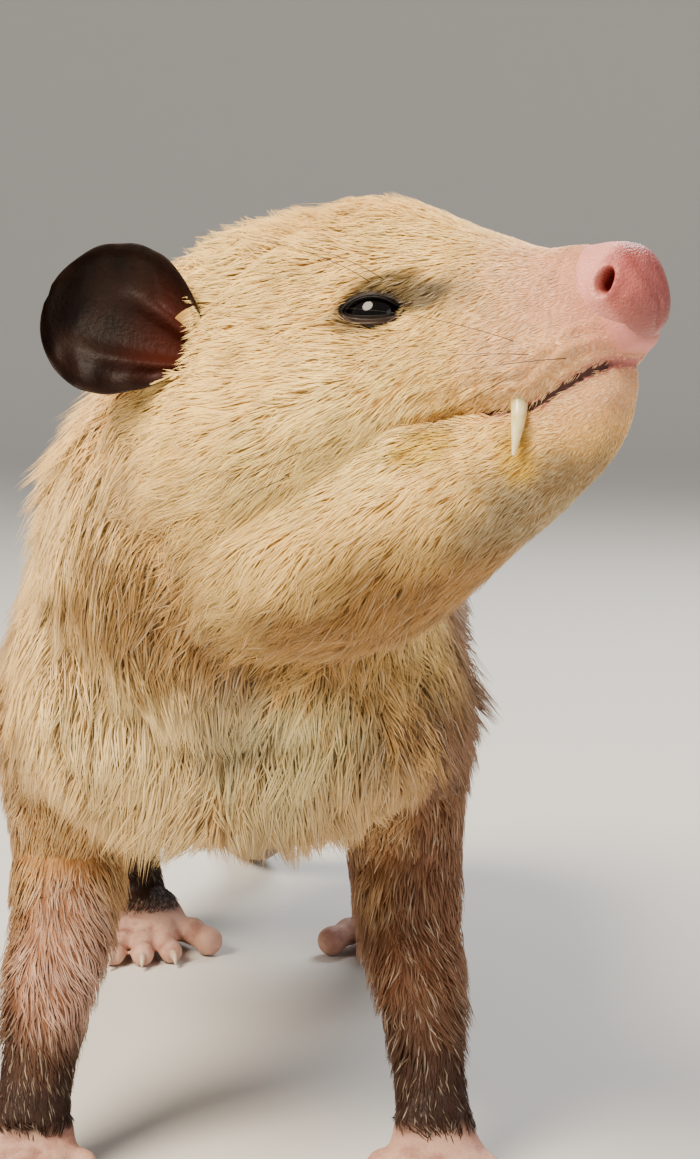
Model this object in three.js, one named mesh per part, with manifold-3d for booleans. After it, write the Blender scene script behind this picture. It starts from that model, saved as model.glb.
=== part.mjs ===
// A life-size Virginia opossum, standing with its head lifted and turned to its left.
// Millimetres. +Z is up, the animal faces -Y and its left side is +X. The floor is z = 0.
// The solids follow the outside of the coat. Short fur, whiskers and scales are not modelled here.
import * as THREE from "three";
import { mergeVertices } from "three/addons/utils/BufferGeometryUtils.js";
import Module from "manifold-3d";

const wasm = await Module();
wasm.setup();

// Driving sizes of an adult of about 3 kg.
const headLength = 115; // nose tip to the back of the skull
const shoulderHeight = 186; // floor to the top of the coat over the shoulders
const trunkLength = 292; // front of the chest to the root of the tail
const trunkFront = -28; // where the chest starts, along Y
const trunkWidth = 128; // across the coat at the flanks
const seam = 0.3; // gap that parts keep where they meet
const sliver = 0.16; // edges and steps smaller than this are closed up after a cut
const farAway = 600; // reach of a cutting block past the animal
const tipRise = 6; // height of the long coat's tips over the core that its locks grow from
const lockLength = 50;
const lockWidth = 31;
const lockSink = 2.5; // how deep a lock's root lies in the core
const tipFlat = 0.6; // how much of a digit's round end is cut flat for its claw
const clawLength = { fore: 6.5, hind: 5.5 };
const noseDepth = 8.5; // the nose pad's depth, from its tip back to its seam
const mouthGap = 0.9; // how far the lips part at the front

// How the head is carried, in degrees, and where its nose tip is.
const headYaw = 51;
const headPitch = 16.8;
const headRoll = 1.75;
const noseTip = new THREE.Vector3(86, -96, 210.5);

const side = { right: -1, left: 1 };
const hindFootMiddle = { right: 38, left: 42 }; // the left hind foot stands a little further out

// Turns a geometry into a solid, with its faces pointing outwards.
function solidOf(geometry) {
  const bare = geometry.clone();
  bare.deleteAttribute("normal");
  bare.deleteAttribute("uv");
  const merged = mergeVertices(bare, 1e-4);
  const vertProperties = new Float32Array(merged.attributes.position.array);
  let triVerts = new Uint32Array(merged.index.array);
  const made = new wasm.Manifold(new wasm.Mesh({ numProp: 3, vertProperties, triVerts }));
  if (made.volume() > 0) return made;
  triVerts = triVerts.map((_, i, all) => all[i - (i % 3) + ((3 - (i % 3)) % 3)]);
  return new wasm.Manifold(new wasm.Mesh({ numProp: 3, vertProperties, triVerts }));
}

function geometryOf(solid) {
  const mesh = solid.getMesh();
  const points = new Float32Array(mesh.numVert * 3);
  for (let i = 0; i < mesh.numVert; i++)
    points.set(mesh.vertProperties.subarray(i * mesh.numProp, i * mesh.numProp + 3), i * 3);
  const geometry = new THREE.BufferGeometry();
  geometry.setAttribute("position", new THREE.BufferAttribute(points, 3));
  geometry.setIndex(new THREE.BufferAttribute(new Uint32Array(mesh.triVerts), 1));
  geometry.computeVertexNormals();
  return geometry;
}

const joined = (solids) => solids.reduce((all, next) => all.add(next));

// The largest closed body of a solid: a scrap that a cut leaves is dropped, and so are the
// slivers along its edges.
function largest(solid) {
  return solid.simplify(sliver).decompose().reduce((a, b) => (a.volume() > b.volume() ? a : b));
}

// A closed skin through rings of points, fanned shut at both ends.
function skinThrough(rings) {
  const count = rings[0].length;
  const middle = (ring) =>
    ring.reduce((sum, p) => sum.add(p), new THREE.Vector3()).divideScalar(ring.length);
  const points = [middle(rings[0]), ...rings.flat(), middle(rings.at(-1))];
  const end = points.length - 1;
  const id = (ring, k) => 1 + ring * count + (k % count);
  const faces = [];
  for (let k = 0; k < count; k++) {
    faces.push(0, id(0, k + 1), id(0, k));
    for (let r = 0; r + 1 < rings.length; r++) {
      faces.push(id(r, k), id(r, k + 1), id(r + 1, k));
      faces.push(id(r, k + 1), id(r + 1, k + 1), id(r + 1, k));
    }
    faces.push(end, id(rings.length - 1, k), id(rings.length - 1, k + 1));
  }
  const geometry = new THREE.BufferGeometry().setFromPoints(points);
  geometry.setIndex(faces);
  return geometry;
}

// Rows of sizes, read between by a cubic curve; the first column is the place along the form.
function between(rows) {
  const width = rows[0].length;
  const curve = new THREE.CubicInterpolant(
    new Float32Array(rows.map((row) => row[0])),
    new Float32Array(rows.flat()),
    width,
    new Float32Array(width),
  );
  return (place) => Array.from(curve.evaluate(place));
}

// A rounded section: half width, reach up and reach down from its widest level.
function sectionPoint(turn, width, up, down, squareness) {
  const power = 2 / squareness;
  const c = Math.cos(turn);
  const s = Math.sin(turn);
  const x = Math.sign(c) * Math.abs(c) ** power * width;
  const z = Math.sign(s) * Math.abs(s) ** power * (s > 0 ? up : down);
  return [x, z];
}

// A form along Y from rows of [y, half width, top, bottom, widest level, middle x].
function bodyForm(rows, places, segments, squareness, shape = (p) => p) {
  const at = between(rows);
  const rings = places.map((place) => {
    const [y, width, top, bottom, level, x] = at(place);
    return Array.from({ length: segments }, (_, k) => {
      const turn = (2 * Math.PI * (k + 0.5)) / segments;
      const [dx, dz] = sectionPoint(turn, width, top - level, level - bottom, squareness);
      return shape(new THREE.Vector3(x + dx, y, level + dz));
    });
  });
  return solidOf(skinThrough(rings));
}

const steps = (from, to, count) =>
  Array.from({ length: count + 1 }, (_, i) => from + ((to - from) * i) / count);

// A limb through points of [x, y, z, radius across, radius fore and aft]. The section's across
// direction stays as near to the given one as the path allows.
function limb(points, { across, rings = 10, segments = 14 }) {
  let run = 0;
  const rows = points.map((p, i) => {
    if (i) run += Math.hypot(p[0] - points[i - 1][0], p[1] - points[i - 1][1], p[2] - points[i - 1][2]);
    return [run, ...p];
  });
  const at = between(rows);
  const centre = (s) => new THREE.Vector3(...at(s).slice(1, 4));
  const made = steps(0, run, rings).map((s) => {
    const [, x, y, z, wide, deep] = at(s);
    const ahead = centre(Math.min(s + 0.5, run)).sub(centre(Math.max(s - 0.5, 0))).normalize();
    const sideways = across.clone().addScaledVector(ahead, -across.dot(ahead)).normalize();
    const third = ahead.clone().cross(sideways);
    return Array.from({ length: segments }, (_, k) => {
      const turn = (2 * Math.PI * (k + 0.5)) / segments;
      return new THREE.Vector3(x, y, z)
        .addScaledVector(sideways, wide * Math.cos(turn))
        .addScaledVector(third, deep * Math.sin(turn));
    });
  });
  return solidOf(skinThrough(made));
}

// A block whose inner face passes through a point, with its depth along the outward direction.
function block({ at, facing, upward = new THREE.Vector3(0, 0, 1), wide, tall, deep, grow = 0 }) {
  const z = facing.clone().normalize();
  const x = upward.clone().cross(z).normalize();
  const y = z.clone().cross(x);
  const geometry = new THREE.BoxGeometry(wide + 2 * grow, tall + 2 * grow, deep + grow);
  geometry.translate(0, 0, (deep - grow) / 2);
  geometry.applyMatrix4(new THREE.Matrix4().makeBasis(x, y, z).setPosition(at));
  return solidOf(geometry);
}

const v = (x, y, z) => new THREE.Vector3(x, y, z);
const acrossX = v(1, 0, 0);
const upZ = v(0, 0, 1);

// The head has a frame of its own: nose tip at the origin, +Y back to the skull, +X its left.
const headGroup = new THREE.Group();
headGroup.position.copy(noseTip);
const degrees = THREE.MathUtils.degToRad;
headGroup.rotation.set(degrees(-headPitch), degrees(headRoll), degrees(headYaw), "ZXY");
headGroup.updateMatrixWorld();
const toWorld = headGroup.matrixWorld.clone();
const fromWorld = toWorld.clone().invert();
const headPoint = (x, y, z) => v(x, y, z).applyMatrix4(toWorld);
const headDirection = (x, y, z) => v(x, y, z).transformDirection(toWorld);
const moved = (solid, matrix) => solidOf(geometryOf(solid).applyMatrix4(matrix));

// Trunk: rows of [y, half width, top, bottom, widest level, middle x], out to the coat's tips.
function trunkForm() {
  const flank = trunkWidth / 2;
  const back = shoulderHeight;
  const rear = trunkFront + trunkLength;
  const core = ([y, wide, top, bottom, ...others]) => {
    return [y, wide - tipRise, top - tipRise, bottom + tipRise, ...others];
  };
  return bodyForm(
    [
      [trunkFront, 0.42 * flank, back - 42, 94, 118, 0],
      [trunkFront + 6, 0.66 * flank, back - 26, 83, 114, 0],
      [trunkFront + 20, 0.86 * flank, back - 10, 75, 108, 0],
      [trunkFront + 44, 0.95 * flank, back - 1, 70, 104, 0],
      [trunkFront + 92, 0.99 * flank, back + 4, 65, 104, 0],
      [trunkFront + 150, 1.03 * flank, back + 5, 60, 104, 0],
      [rear - 82, 1.03 * flank, back, 60, 102, 0],
      [rear - 44, 0.92 * flank, back - 17, 64, 102, 0],
      [rear - 18, 0.68 * flank, back - 42, 72, 102, 0],
      [rear, 0.3 * flank, back - 68, 84, 101, 0],
    ].map(core),
    [0, 6, 20, 48, 90, 140, 190, 224, 252, 274, 292].map((d) => trunkFront + d),
    16,
    2.25,
  );
}

// Skull and muzzle with their coat, in the head's frame; the face narrows towards the crown.
function skullForm() {
  const reach = headLength;
  const narrowed = (p) => p.setX(p.x * (1 - (0.2 * Math.max(0, p.z)) / 35));
  return bodyForm(
    [
      [5, 8.4, 10.6, -11.5, -2, 0],
      [12, 11, 12.6, -14.5, -4, 0],
      [22, 13.2, 15, -18.5, -5, 0],
      [0.3 * reach, 15.8, 23, -18, -3, 0],
      [0.41 * reach, 19.6, 33, -18, -1, 0],
      [0.5 * reach, 25, 38, -22, -3, 0],
      [0.6 * reach, 34, 41, -28, -6, 0],
      [0.73 * reach, 40.5, 42.8, -34, -7, 0],
      [0.86 * reach, 41.5, 42, -36, -5, 0],
      [0.98 * reach, 37, 37.5, -36, 0, 0],
      [1.04 * reach, 32, 32, -32, 0, 0],
    ],
    [5, 8, 13, 20, 27, 34, 41, 48, 55, 62, 71, 82, 94, 106, 118],
    22,
    2.3,
    narrowed,
  );
}

// Chin, lower jaw and the deep fur of the throat.
function jawForm() {
  return bodyForm(
    [
      [10, 5, -8, -18, -14, 0],
      [14, 7.6, -8, -24.5, -16, 0],
      [20, 9.6, -7, -31, -18, 0],
      [28, 12, -6, -36.5, -20, 0],
      [46, 20, -2, -44, -22, 0],
      [59, 27, 0, -49.5, -25, 0],
      [73, 33, 0, -54, -28, 0],
      [90, 36, 0, -55, -28, 0],
      [112, 33, 0, -48, -22, 0],
    ],
    [10, 11.5, 15, 21, 28, 36, 46, 58, 73, 90, 112],
    18,
    2.2,
  );
}

function neckForm() {
  const points = [
    [...headPoint(0, 88, -8).toArray(), 41, 41],
    [6, -18, 163, 47, 46],
    [2, 12, 143, 50, 50],
    [0, 50, 128, 52, 52],
  ];
  return limb(
    points.map(([x, y, z, wide, deep]) => [x, y, z, wide - tipRise, deep - tipRise]),
    { across: acrossX, rings: 5, segments: 16 },
  );
}

// A leg and its mirror image share their sizes; x counts outwards from the middle.
const outward = (sign, rows) => rows.map(([x, ...others]) => [sign * x, ...others]);

function upperArmForm(sign) {
  return limb(
    outward(sign, [
      [38, 16, 122, 14, 20],
      [40, 24, 98, 17.5, 21],
      [42, 31, 76, 18.5, 19],
      [42, 32, 62, 15, 15],
    ]),
    { across: acrossX, rings: 5, segments: 12 },
  );
}

function forearmForm(sign) {
  return limb(
    outward(sign, [
      [42, 33, 74, 15, 15],
      [43, 27, 60, 15.5, 16],
      [45.5, 15, 42, 12.6, 13],
      [47.5, 5, 22, 10.2, 10],
      [48.5, 0, 12, 10, 9],
    ]),
    { across: acrossX, rings: 6, segments: 10 },
  );
}

function thighForm(sign) {
  return limb(
    outward(sign, [
      [38, 214, 128, 16, 26],
      [40, 208, 108, 21, 33],
      [45, 196, 86, 18, 26],
      [48, 182, 66, 15, 18],
    ]),
    { across: acrossX, rings: 5, segments: 14 },
  );
}

function shinForm(sign) {
  return limb(
    outward(sign, [
      [48, 178, 70, 15, 15],
      [48, 190, 56, 14.5, 15.5],
      [46, 212, 40, 11.5, 12.5],
      [44, 228, 26, 9.5, 10],
      [43, 232, 14, 9, 9],
    ]),
    { across: acrossX, rings: 6, segments: 10 },
  );
}

// A toe of a few soft bends, from its root to a flat tip where the claw starts.
function toe({ root, turn, length, radius, height }) {
  const ahead = v(Math.sin(turn), -Math.cos(turn), 0);
  const at = (part, z, r) => [root.x + ahead.x * length * part, root.y + ahead.y * length * part, z, r, r];
  const points = [
    at(0, height, radius),
    at(0.38, height + 0.5, radius * 0.92),
    at(0.72, radius * 0.98, radius),
    at(0.94, radius * 0.86, radius * 0.86),
    at(1, radius * 0.84, radius * 0.62),
  ];
  const form = limb(points, { across: v(ahead.y, -ahead.x, 0), rings: 4, segments: 5 });
  return form.subtract(tipBlock(root, ahead, length - tipFlat));
}

// Beyond a digit's flat tip.
function tipBlock(root, ahead, distance) {
  const at = root.clone().addScaledVector(ahead, distance);
  return block({ at, facing: ahead, wide: 20, tall: 40, deep: 20 });
}

// The claw goes on past the toe's tip by the seam, and hooks down to just above the floor.
function claw({ root, turn, length, radius }, size) {
  const ahead = v(Math.sin(turn), -Math.cos(turn), 0);
  const start = length - tipFlat - 1;
  const at = (d, z, r) => [root.x + ahead.x * (start + d), root.y + ahead.y * (start + d), z, r, r * 1.15];
  const level = radius * 0.84;
  const points = [
    at(0, level, 1.35),
    at(size * 0.4, level + 0.5, 1.15),
    at(size * 0.78, level - 0.5, 0.75),
    at(size, level - 1.9, 0.28),
  ];
  const form = limb(points, { across: v(ahead.y, -ahead.x, 0), rings: 3, segments: 5 });
  const back = root.clone().addScaledVector(ahead, length - tipFlat + seam);
  return form.subtract(block({ at: back, facing: ahead.clone().negate(), wide: 20, tall: 40, deep: 20 }));
}

// Five spread toes, the middle one longest.
function foreToes(sign) {
  return [-2, -1, 0, 1, 2].map((place) => ({
    root: v(sign * (48.5 + place * 4.4), -5 + Math.abs(place) * 2.4, 0),
    turn: sign * degrees(2 + place * 20),
    length: 21 - Math.abs(place) * 1.6,
    radius: 3.7,
    height: 5.2,
  }));
}

// Four toes, and a stout thumb without a claw that stands off to the inside.
function hindToes(sign) {
  const middle = hindFootMiddle[sign < 0 ? "right" : "left"];
  const toes = [-1.5, -0.5, 0.5, 1.5].map((place) => ({
    root: v(sign * (middle + 4 + place * 5.4), 206 + Math.abs(place) * 1.6, 0),
    turn: sign * degrees(3 + place * 13),
    length: 21 - Math.abs(place) * 1.2,
    radius: 4,
    height: 5.4,
  }));
  const thumb = {
    root: v(sign * (middle - 9), 217, 0),
    turn: sign * degrees(-38),
    length: 22,
    radius: 5,
    height: 5.6,
  };
  return { toes, thumb };
}

function foreFootForm(sign) {
  const palm = limb(
    outward(sign, [
      [48, 6, 13, 9.5, 8],
      [48.5, 0, 8, 11.5, 8],
      [48.5, -8, 5.6, 12.6, 6],
    ]),
    { across: acrossX, rings: 3, segments: 10 },
  );
  return joined([palm, ...foreToes(sign).map(toe)]);
}

function hindFootForm(sign) {
  const middle = hindFootMiddle[sign < 0 ? "right" : "left"];
  const { toes, thumb } = hindToes(sign);
  const foot = limb(
    outward(sign, [
      [43, 240, 11, 7, 7],
      [43, 232, 10, 10, 10],
      [middle + 1, 218, 8, 13, 8],
      [middle + 3, 204, 6, 13.5, 6.2],
    ]),
    { across: acrossX, rings: 5, segments: 10 },
  );
  return joined([foot, toe(thumb), ...toes.map(toe)]);
}

function tailForm() {
  const base = trunkFront + trunkLength;
  const points = [
    [0, base - 26, 104, 19, 21],
    [0, base - 2, 96, 15.5, 16.5],
    [-1, base + 22, 68, 12, 12.5],
    [-2, base + 38, 40, 10.6, 10.6],
    [-4, base + 56, 17, 9.6, 9.6],
    [-10, base + 82, 8.1, 8.6, 8.6],
    [-24, base + 118, 6.9, 7.3, 7.3],
    [-42, base + 148, 5.5, 5.9, 5.9],
    [-62, base + 172, 4.1, 4.5, 4.5],
    [-80, base + 184, 2.8, 3.1, 3.1],
    [-95, base + 188, 1.7, 1.9, 1.9],
  ];
  return limb(points, { across: v(0.6, -0.8, 0), rings: 20, segments: 9 });
}

// Mouth line in the head's frame, seen from the side: it sags over the upper canine.
const mouthLine = [
  [-8, -10.6],
  [5, -11.2],
  [14, -13.2],
  [27, -16.4],
  [34, -15.4],
  [42, -14.4],
  [50, -14.2],
];
const mouthCorner = mouthLine.at(-1);

// A slab with the given side view (y, z), as wide as the head.
function sideCut(outline) {
  const shape = new THREE.Shape(outline.map(([y, z]) => new THREE.Vector2(y, z)));
  const geometry = new THREE.ExtrudeGeometry(shape, { depth: 160, bevelEnabled: false });
  geometry.translate(0, 0, -80);
  geometry.applyMatrix4(new THREE.Matrix4().makeBasis(v(0, 1, 0), v(0, 0, 1), v(1, 0, 0)));
  return solidOf(geometry);
}

// Everything below the mouth line and in front of the jaw's back edge; gap 0 is the jaw itself.
function jawRegion(gap) {
  const [cornerY, cornerZ] = mouthCorner;
  const top = mouthLine.map(([y, z], i) => [y, z - mouthGap * (1 - i / (mouthLine.length - 1)) + gap]);
  const open = gap > 0 ? mouthLine.map(([y, z]) => [y, z]) : top;
  open[open.length - 1] = [cornerY + gap, cornerZ + gap];
  return sideCut([...open, [cornerY + 9 + gap, -64], [-8, -64]]);
}

// Ball of the eye and the bulge of its lids; the slit between them is half closed.
const eyeRadius = 7;
const lidDepth = 1.7;
const eyeMiddle = (sign) => v(sign * 13.6, 56.5, 10.6);

function ball(radius, centre, across = 12) {
  const geometry = new THREE.SphereGeometry(radius, across, Math.round(across * 0.7));
  geometry.translate(centre.x, centre.y, centre.z);
  return solidOf(geometry);
}

function eyeSlit(sign) {
  const geometry = new THREE.SphereGeometry(1, 14, 8);
  geometry.scale(5.8, 6, 2.5);
  const outwards = v(sign * 0.83, -0.5, 0.24).normalize();
  const along = v(sign * 0.45, 0.86, 0.22).normalize();
  const upwards = outwards.clone().cross(along).normalize();
  const middle = eyeMiddle(sign).addScaledVector(outwards, eyeRadius);
  geometry.applyMatrix4(new THREE.Matrix4().makeBasis(along, outwards, upwards).setPosition(middle));
  return solidOf(geometry);
}

// Nose pad: a blunt knob with a groove down its middle and a nostril opening to each side.
function noseForm() {
  const pad = bodyForm(
    [
      [-0.4, 3.6, 5.4, -4.2, 0.4, 0],
      [0.6, 6.2, 8, -6.6, 0.6, 0],
      [3, 8.1, 9.8, -8.6, 0.6, 0],
      [6, 8.9, 10.6, -9.6, 0.4, 0],
      [noseDepth, 8.8, 10.8, -10, 0.2, 0],
    ],
    [-0.4, 0.5, 1.8, 3.6, 5.6, noseDepth],
    18,
    2.2,
  );
  const groove = solidOf(
    new THREE.ConeGeometry(1.1, 3.2, 4).rotateX(Math.PI / 2).scale(1, 1, 5).translate(0, -0.9, -1.5),
  );
  const nostrils = [side.right, side.left].map((sign) => {
    const hole = new THREE.CylinderGeometry(1.5, 2.6, 9, 9).scale(0.8, 1, 1.25);
    hole.rotateZ(sign * degrees(-58)).rotateX(degrees(-12)).rotateZ(sign * degrees(-22));
    return solidOf(hole.translate(sign * 8.8, 4, 1.8));
  });
  return [groove, ...nostrils].reduce((solid, cut) => solid.subtract(cut), pad);
}

// An upper canine: a cone that bends back a little, its root in the upper lip.
function canineForm(sign, extra = 0) {
  const points = [
    [10.6, 29.4, -14.2 + extra, 2.1, 2.4],
    [11.4, 29.6, -18, 1.7, 2],
    [12, 30.4, -21.4, 1.2, 1.4],
    [12.3, 31.8, -24.8 - extra, 0.35, 0.45],
  ];
  const grown = points.map(([x, y, z, wide, deep]) => [sign * x, y, z, wide + extra, deep + extra]);
  return limb(grown, { across: acrossX, rings: 5, segments: 8 });
}

// Ear: a thin leathery cup with a rounded rim, narrow at its root, facing out and forwards.
const earLength = 33;
const earWidth = 33;
const earThickness = 1.3;

const earAlong = (sign) => v(sign * 0.44, 0.6, 0.5).normalize();

function earForm(sign) {
  const along = earAlong(sign);
  const facing = v(sign * 0.76, -0.62, 0.02);
  facing.addScaledVector(along, -facing.dot(along)).normalize();
  const sideways = along.clone().cross(facing);
  const root = v(sign * 27, 95, 15);
  const surface = (part, turn, offset) => {
    const width = 0.5 * earWidth * Math.min(1, 0.34 + 0.95 * Math.sin(Math.PI * Math.min(part, 0.5)));
    const rounding = part < 0.45 ? 1 : Math.sqrt(Math.max(0, 1 - ((part - 0.45) / 0.56) ** 2));
    const rim = width * (part < 0.45 ? 1 : rounding);
    const hollow = 9.5 * (1 - turn * turn) * (1 - 0.55 * part);
    const curl = 3.4 * part * part;
    return root
      .clone()
      .addScaledVector(along, part * earLength)
      .addScaledVector(sideways, turn * rim)
      .addScaledVector(facing, -hollow - curl + offset);
  };
  const rows = [0, 0.24, 0.46, 0.66, 0.82, 0.94, 0.995];
  const columns = steps(-1, 1, 7);
  const rings = rows.map((part) => {
    const front = columns.map((turn) => surface(part, turn, earThickness / 2));
    const rear = columns.map((turn) => surface(part, turn, -earThickness / 2)).reverse();
    return [...front, ...rear];
  });
  return solidOf(skinThrough(rings));
}

// Cells that part the animal where a person would name its parts. Each is a block whose inner
// face lies on the seam; what a cell holds becomes the part, and the rest loses the cell and a gap.
const bothSides = (make) => [make(side.right, "right"), make(side.left, "left")];

function legCells(sign, name) {
  const out = (x, y, z) => v(sign * x, y, z);
  const upward = v(0, -1, 0);
  const cells = {
    forefoot: { at: out(48, 0, 17), facing: v(0, -0.25, -1), wide: 70, tall: 90, deep: 60 },
    forearm: { at: out(44, 28, 65), facing: v(0, -0.1, -1), wide: 60, tall: 90, deep: 90 },
    upper_arm: { at: out(40, 24, 88), facing: out(0.66, 0, -0.75), wide: 110, tall: 70, deep: 90 },
    hind_foot: { at: out(44, 225, 21), facing: v(0, 0, -1), wide: 84, tall: 130, deep: 60 },
    shin: { at: out(47, 200, 59), facing: v(0, 0, -1), wide: 76, tall: 110, deep: 80 },
    thigh: { at: out(40, 202, 92), facing: out(0.72, 0, -0.7), wide: 130, tall: 96, deep: 90 },
  };
  return Object.entries(cells).map(([part, cell]) => [`${part}_${name}`, { ...cell, upward }]);
}

function bodyCells() {
  const tail = trunkFront + trunkLength;
  const whole = { wide: farAway, tall: farAway, deep: farAway };
  const headCell = { at: headPoint(0, 104, -6), facing: headDirection(0, -1, 0) };
  return [
    ["tail_tip", { ...whole, at: v(0, tail + 146, 0), facing: v(-0.35, 1, 0), tall: 40 }],
    ["tail_middle", { ...whole, at: v(0, tail + 62, 0), facing: v(0, 1, 0) }],
    ["tail_base", { ...whole, at: v(0, tail - 3, 92), facing: v(0, 0.94, -0.34) }],
    ["head", { ...whole, ...headCell, tall: 150, deep: 200 }],
    ["neck", { ...whole, at: v(0, -2, 148), facing: v(0.2, -0.8, 0.56), deep: 200 }],
    ...bothSides(legCells).flat(),
    ["chest", { ...whole, at: v(0, 82, 0), facing: v(0, -1, 0) }],
    ["rump", { ...whole, at: v(0, 172, 0), facing: v(0, 1, 0) }],
  ];
}

// Numbers from 0 to 1 that are the same on every run.
function randomFrom(seed) {
  let state = seed;
  return () => {
    state = (state + 0x6d2b79f5) | 0;
    let mixed = Math.imul(state ^ (state >>> 15), 1 | state);
    mixed = (mixed + Math.imul(mixed ^ (mixed >>> 7), 61 | mixed)) ^ mixed;
    return ((mixed ^ (mixed >>> 14)) >>> 0) / 4294967296;
  };
}

const caster = new THREE.Raycaster();

// Where a straight look from a point first meets the surface, and which way the surface faces there.
function surfaceSeen(surface, from, towards) {
  caster.set(from, towards);
  const [hit] = caster.intersectObject(surface);
  return hit && { point: hit.point, facing: hit.face.normal.clone() };
}

// One flat lock: it leaves the core at a low angle, follows its curve and tapers to a thin tip.
function lock(surface, root, lie, { length, width, rise }) {
  const stations = [
    [0, 0.8, -lockSink, 3],
    [0.36, 1, 0.25 * rise, 3.2],
    [0.72, 0.66, 0.7 * rise, 2.4],
    [1, 0.12, rise, 0.9],
  ];
  let { point, facing } = root;
  let walked = 0;
  const rings = stations.map(([part, wide, height, thick]) => {
    const onward = lie.clone().addScaledVector(facing, -lie.dot(facing)).normalize();
    const along = point.clone().addScaledVector(onward, (part - walked) * length);
    const above = along.addScaledVector(facing, 25);
    const found = surfaceSeen(surface, above, facing.clone().negate());
    if (found) {
      point = found.point;
      facing = facing.clone().lerp(found.facing, 0.6).normalize();
    } else {
      point = above.addScaledVector(facing, -25);
    }
    walked = part;
    const sideways = facing.clone().cross(onward).normalize();
    const middle = point.clone().addScaledVector(facing, height);
    return [
      middle.clone().addScaledVector(sideways, 0.5 * wide * width).addScaledVector(facing, -0.4 * thick),
      middle.clone().addScaledVector(facing, 0.6 * thick),
      middle.clone().addScaledVector(sideways, -0.5 * wide * width).addScaledVector(facing, -0.4 * thick),
    ];
  });
  return solidOf(skinThrough(rings));
}

// Tiers of locks round the neck and trunk, from [x, y, z, locks round the tier] of their middles.
const lockTiers = [
  [10, -34, 168, 9],
  [5, -14, 154, 9],
  [2, 8, 138, 10],
  [0, 36, 122, 10],
  [0, 70, 117, 10],
  [0, 104, 116, 10],
  [0, 138, 116, 10],
  [0, 172, 115, 10],
  [0, 203, 110, 9],
  [0, 230, 104, 8],
];

function coatLocks(core) {
  const surface = new THREE.Mesh(geometryOf(core), new THREE.MeshBasicMaterial({ side: THREE.DoubleSide }));
  const random = randomFrom(3);
  const vary = (amount) => 1 + amount * (2 * random() - 1);
  const centres = lockTiers.map(([x, y, z]) => v(x, y, z));
  return lockTiers.flatMap(([, , , count], tier) => {
    const ahead = centres[Math.max(tier - 1, 0)];
    const behind = centres[Math.min(tier + 1, centres.length - 1)];
    const along = behind.clone().sub(ahead).normalize();
    const level = along.clone().cross(upZ).normalize();
    const upright = level.clone().cross(along);
    return steps(0, count - 1, count - 1).map((k) => {
      const turn = (2 * Math.PI * (k + 0.5 * (tier % 2) + 0.12 * (random() - 0.5))) / count;
      const spoke = level.clone().multiplyScalar(Math.cos(turn)).addScaledVector(upright, Math.sin(turn));
      const from = centres[tier].clone().addScaledVector(spoke, 120);
      from.addScaledVector(along, 6 * (random() - 0.5));
      const root = surfaceSeen(surface, from, spoke.clone().negate());
      const lie = along.clone().addScaledVector(upZ, -0.35 * (1 - spoke.z * spoke.z)).normalize();
      return lock(surface, root, lie, {
        length: lockLength * vary(0.15),
        width: lockWidth * vary(0.08),
        rise: tipRise * vary(0.15),
      });
    });
  });
}

function wholeBody() {
  const thickLegs = bothSides((sign) => [upperArmForm(sign), thighForm(sign)]).flat();
  const core = joined([trunkForm(), neckForm(), ...thickLegs]);
  const legs = bothSides((sign) => [
    forearmForm(sign),
    foreFootForm(sign),
    shinForm(sign),
    hindFootForm(sign),
  ]).flat();
  const head = [skullForm(), jawForm()].map((solid) => moved(solid, toWorld));
  const body = joined([core, ...coatLocks(core), tailForm(), ...head, ...legs]);
  const underside = { at: v(0, 100, 0), facing: v(0, 0, -1), upward: v(0, 1, 0) };
  return body.subtract(block({ ...underside, wide: farAway, tall: 900, deep: 50 }));
}

function partedBody() {
  const parts = {};
  let rest = wholeBody();
  for (const [name, cell] of bodyCells()) {
    parts[name] = largest(rest.intersect(block(cell)));
    rest = rest.subtract(block({ ...cell, grow: seam }));
  }
  parts.loin = largest(rest);
  return parts;
}

// The head's pieces, in the head's frame.
function headPieces(head, neck) {
  const pieces = { nose: noseForm() };
  const nosePlace = { at: v(0, noseDepth, 0), facing: v(0, -1, 0) };
  const tip = block({ ...nosePlace, wide: 60, tall: 60, deep: 40, grow: seam });
  let solid = head.subtract(tip);
  bothSides((sign, name) => {
    const middle = eyeMiddle(sign);
    pieces[`eye_${name}`] = ball(eyeRadius, middle);
    solid = solid.add(ball(eyeRadius + lidDepth, middle, 12));
  });
  bothSides((sign) => {
    solid = solid.subtract(ball(eyeRadius + seam, eyeMiddle(sign))).subtract(eyeSlit(sign));
  });
  pieces.lower_jaw = solid.intersect(jawRegion(0));
  solid = solid.subtract(jawRegion(seam));
  bothSides((sign, name) => {
    pieces[`upper_canine_${name}`] = canineForm(sign);
    const clear = canineForm(sign, seam + 0.1);
    solid = solid.subtract(clear);
    pieces.lower_jaw = pieces.lower_jaw.subtract(clear);
    const step = earAlong(sign).multiplyScalar(seam).toArray();
    const cuts = [solid, neck].flatMap((form) => [form, form.translate(step)]);
    pieces[`ear_${name}`] = cuts.reduce((left, cut) => left.subtract(cut), earForm(sign));
  });
  pieces.head = solid;
  for (const name of Object.keys(pieces)) pieces[name] = largest(pieces[name]);
  return pieces;
}

function clawPieces() {
  const pieces = {};
  bothSides((sign, name) => {
    foreToes(sign).forEach((digit, i) => {
      pieces[`fore_claw_${name}_${i + 1}`] = claw(digit, clawLength.fore);
    });
    hindToes(sign).toes.forEach((digit, i) => {
      pieces[`hind_claw_${name}_${i + 1}`] = claw(digit, clawLength.hind);
    });
  });
  return pieces;
}

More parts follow.
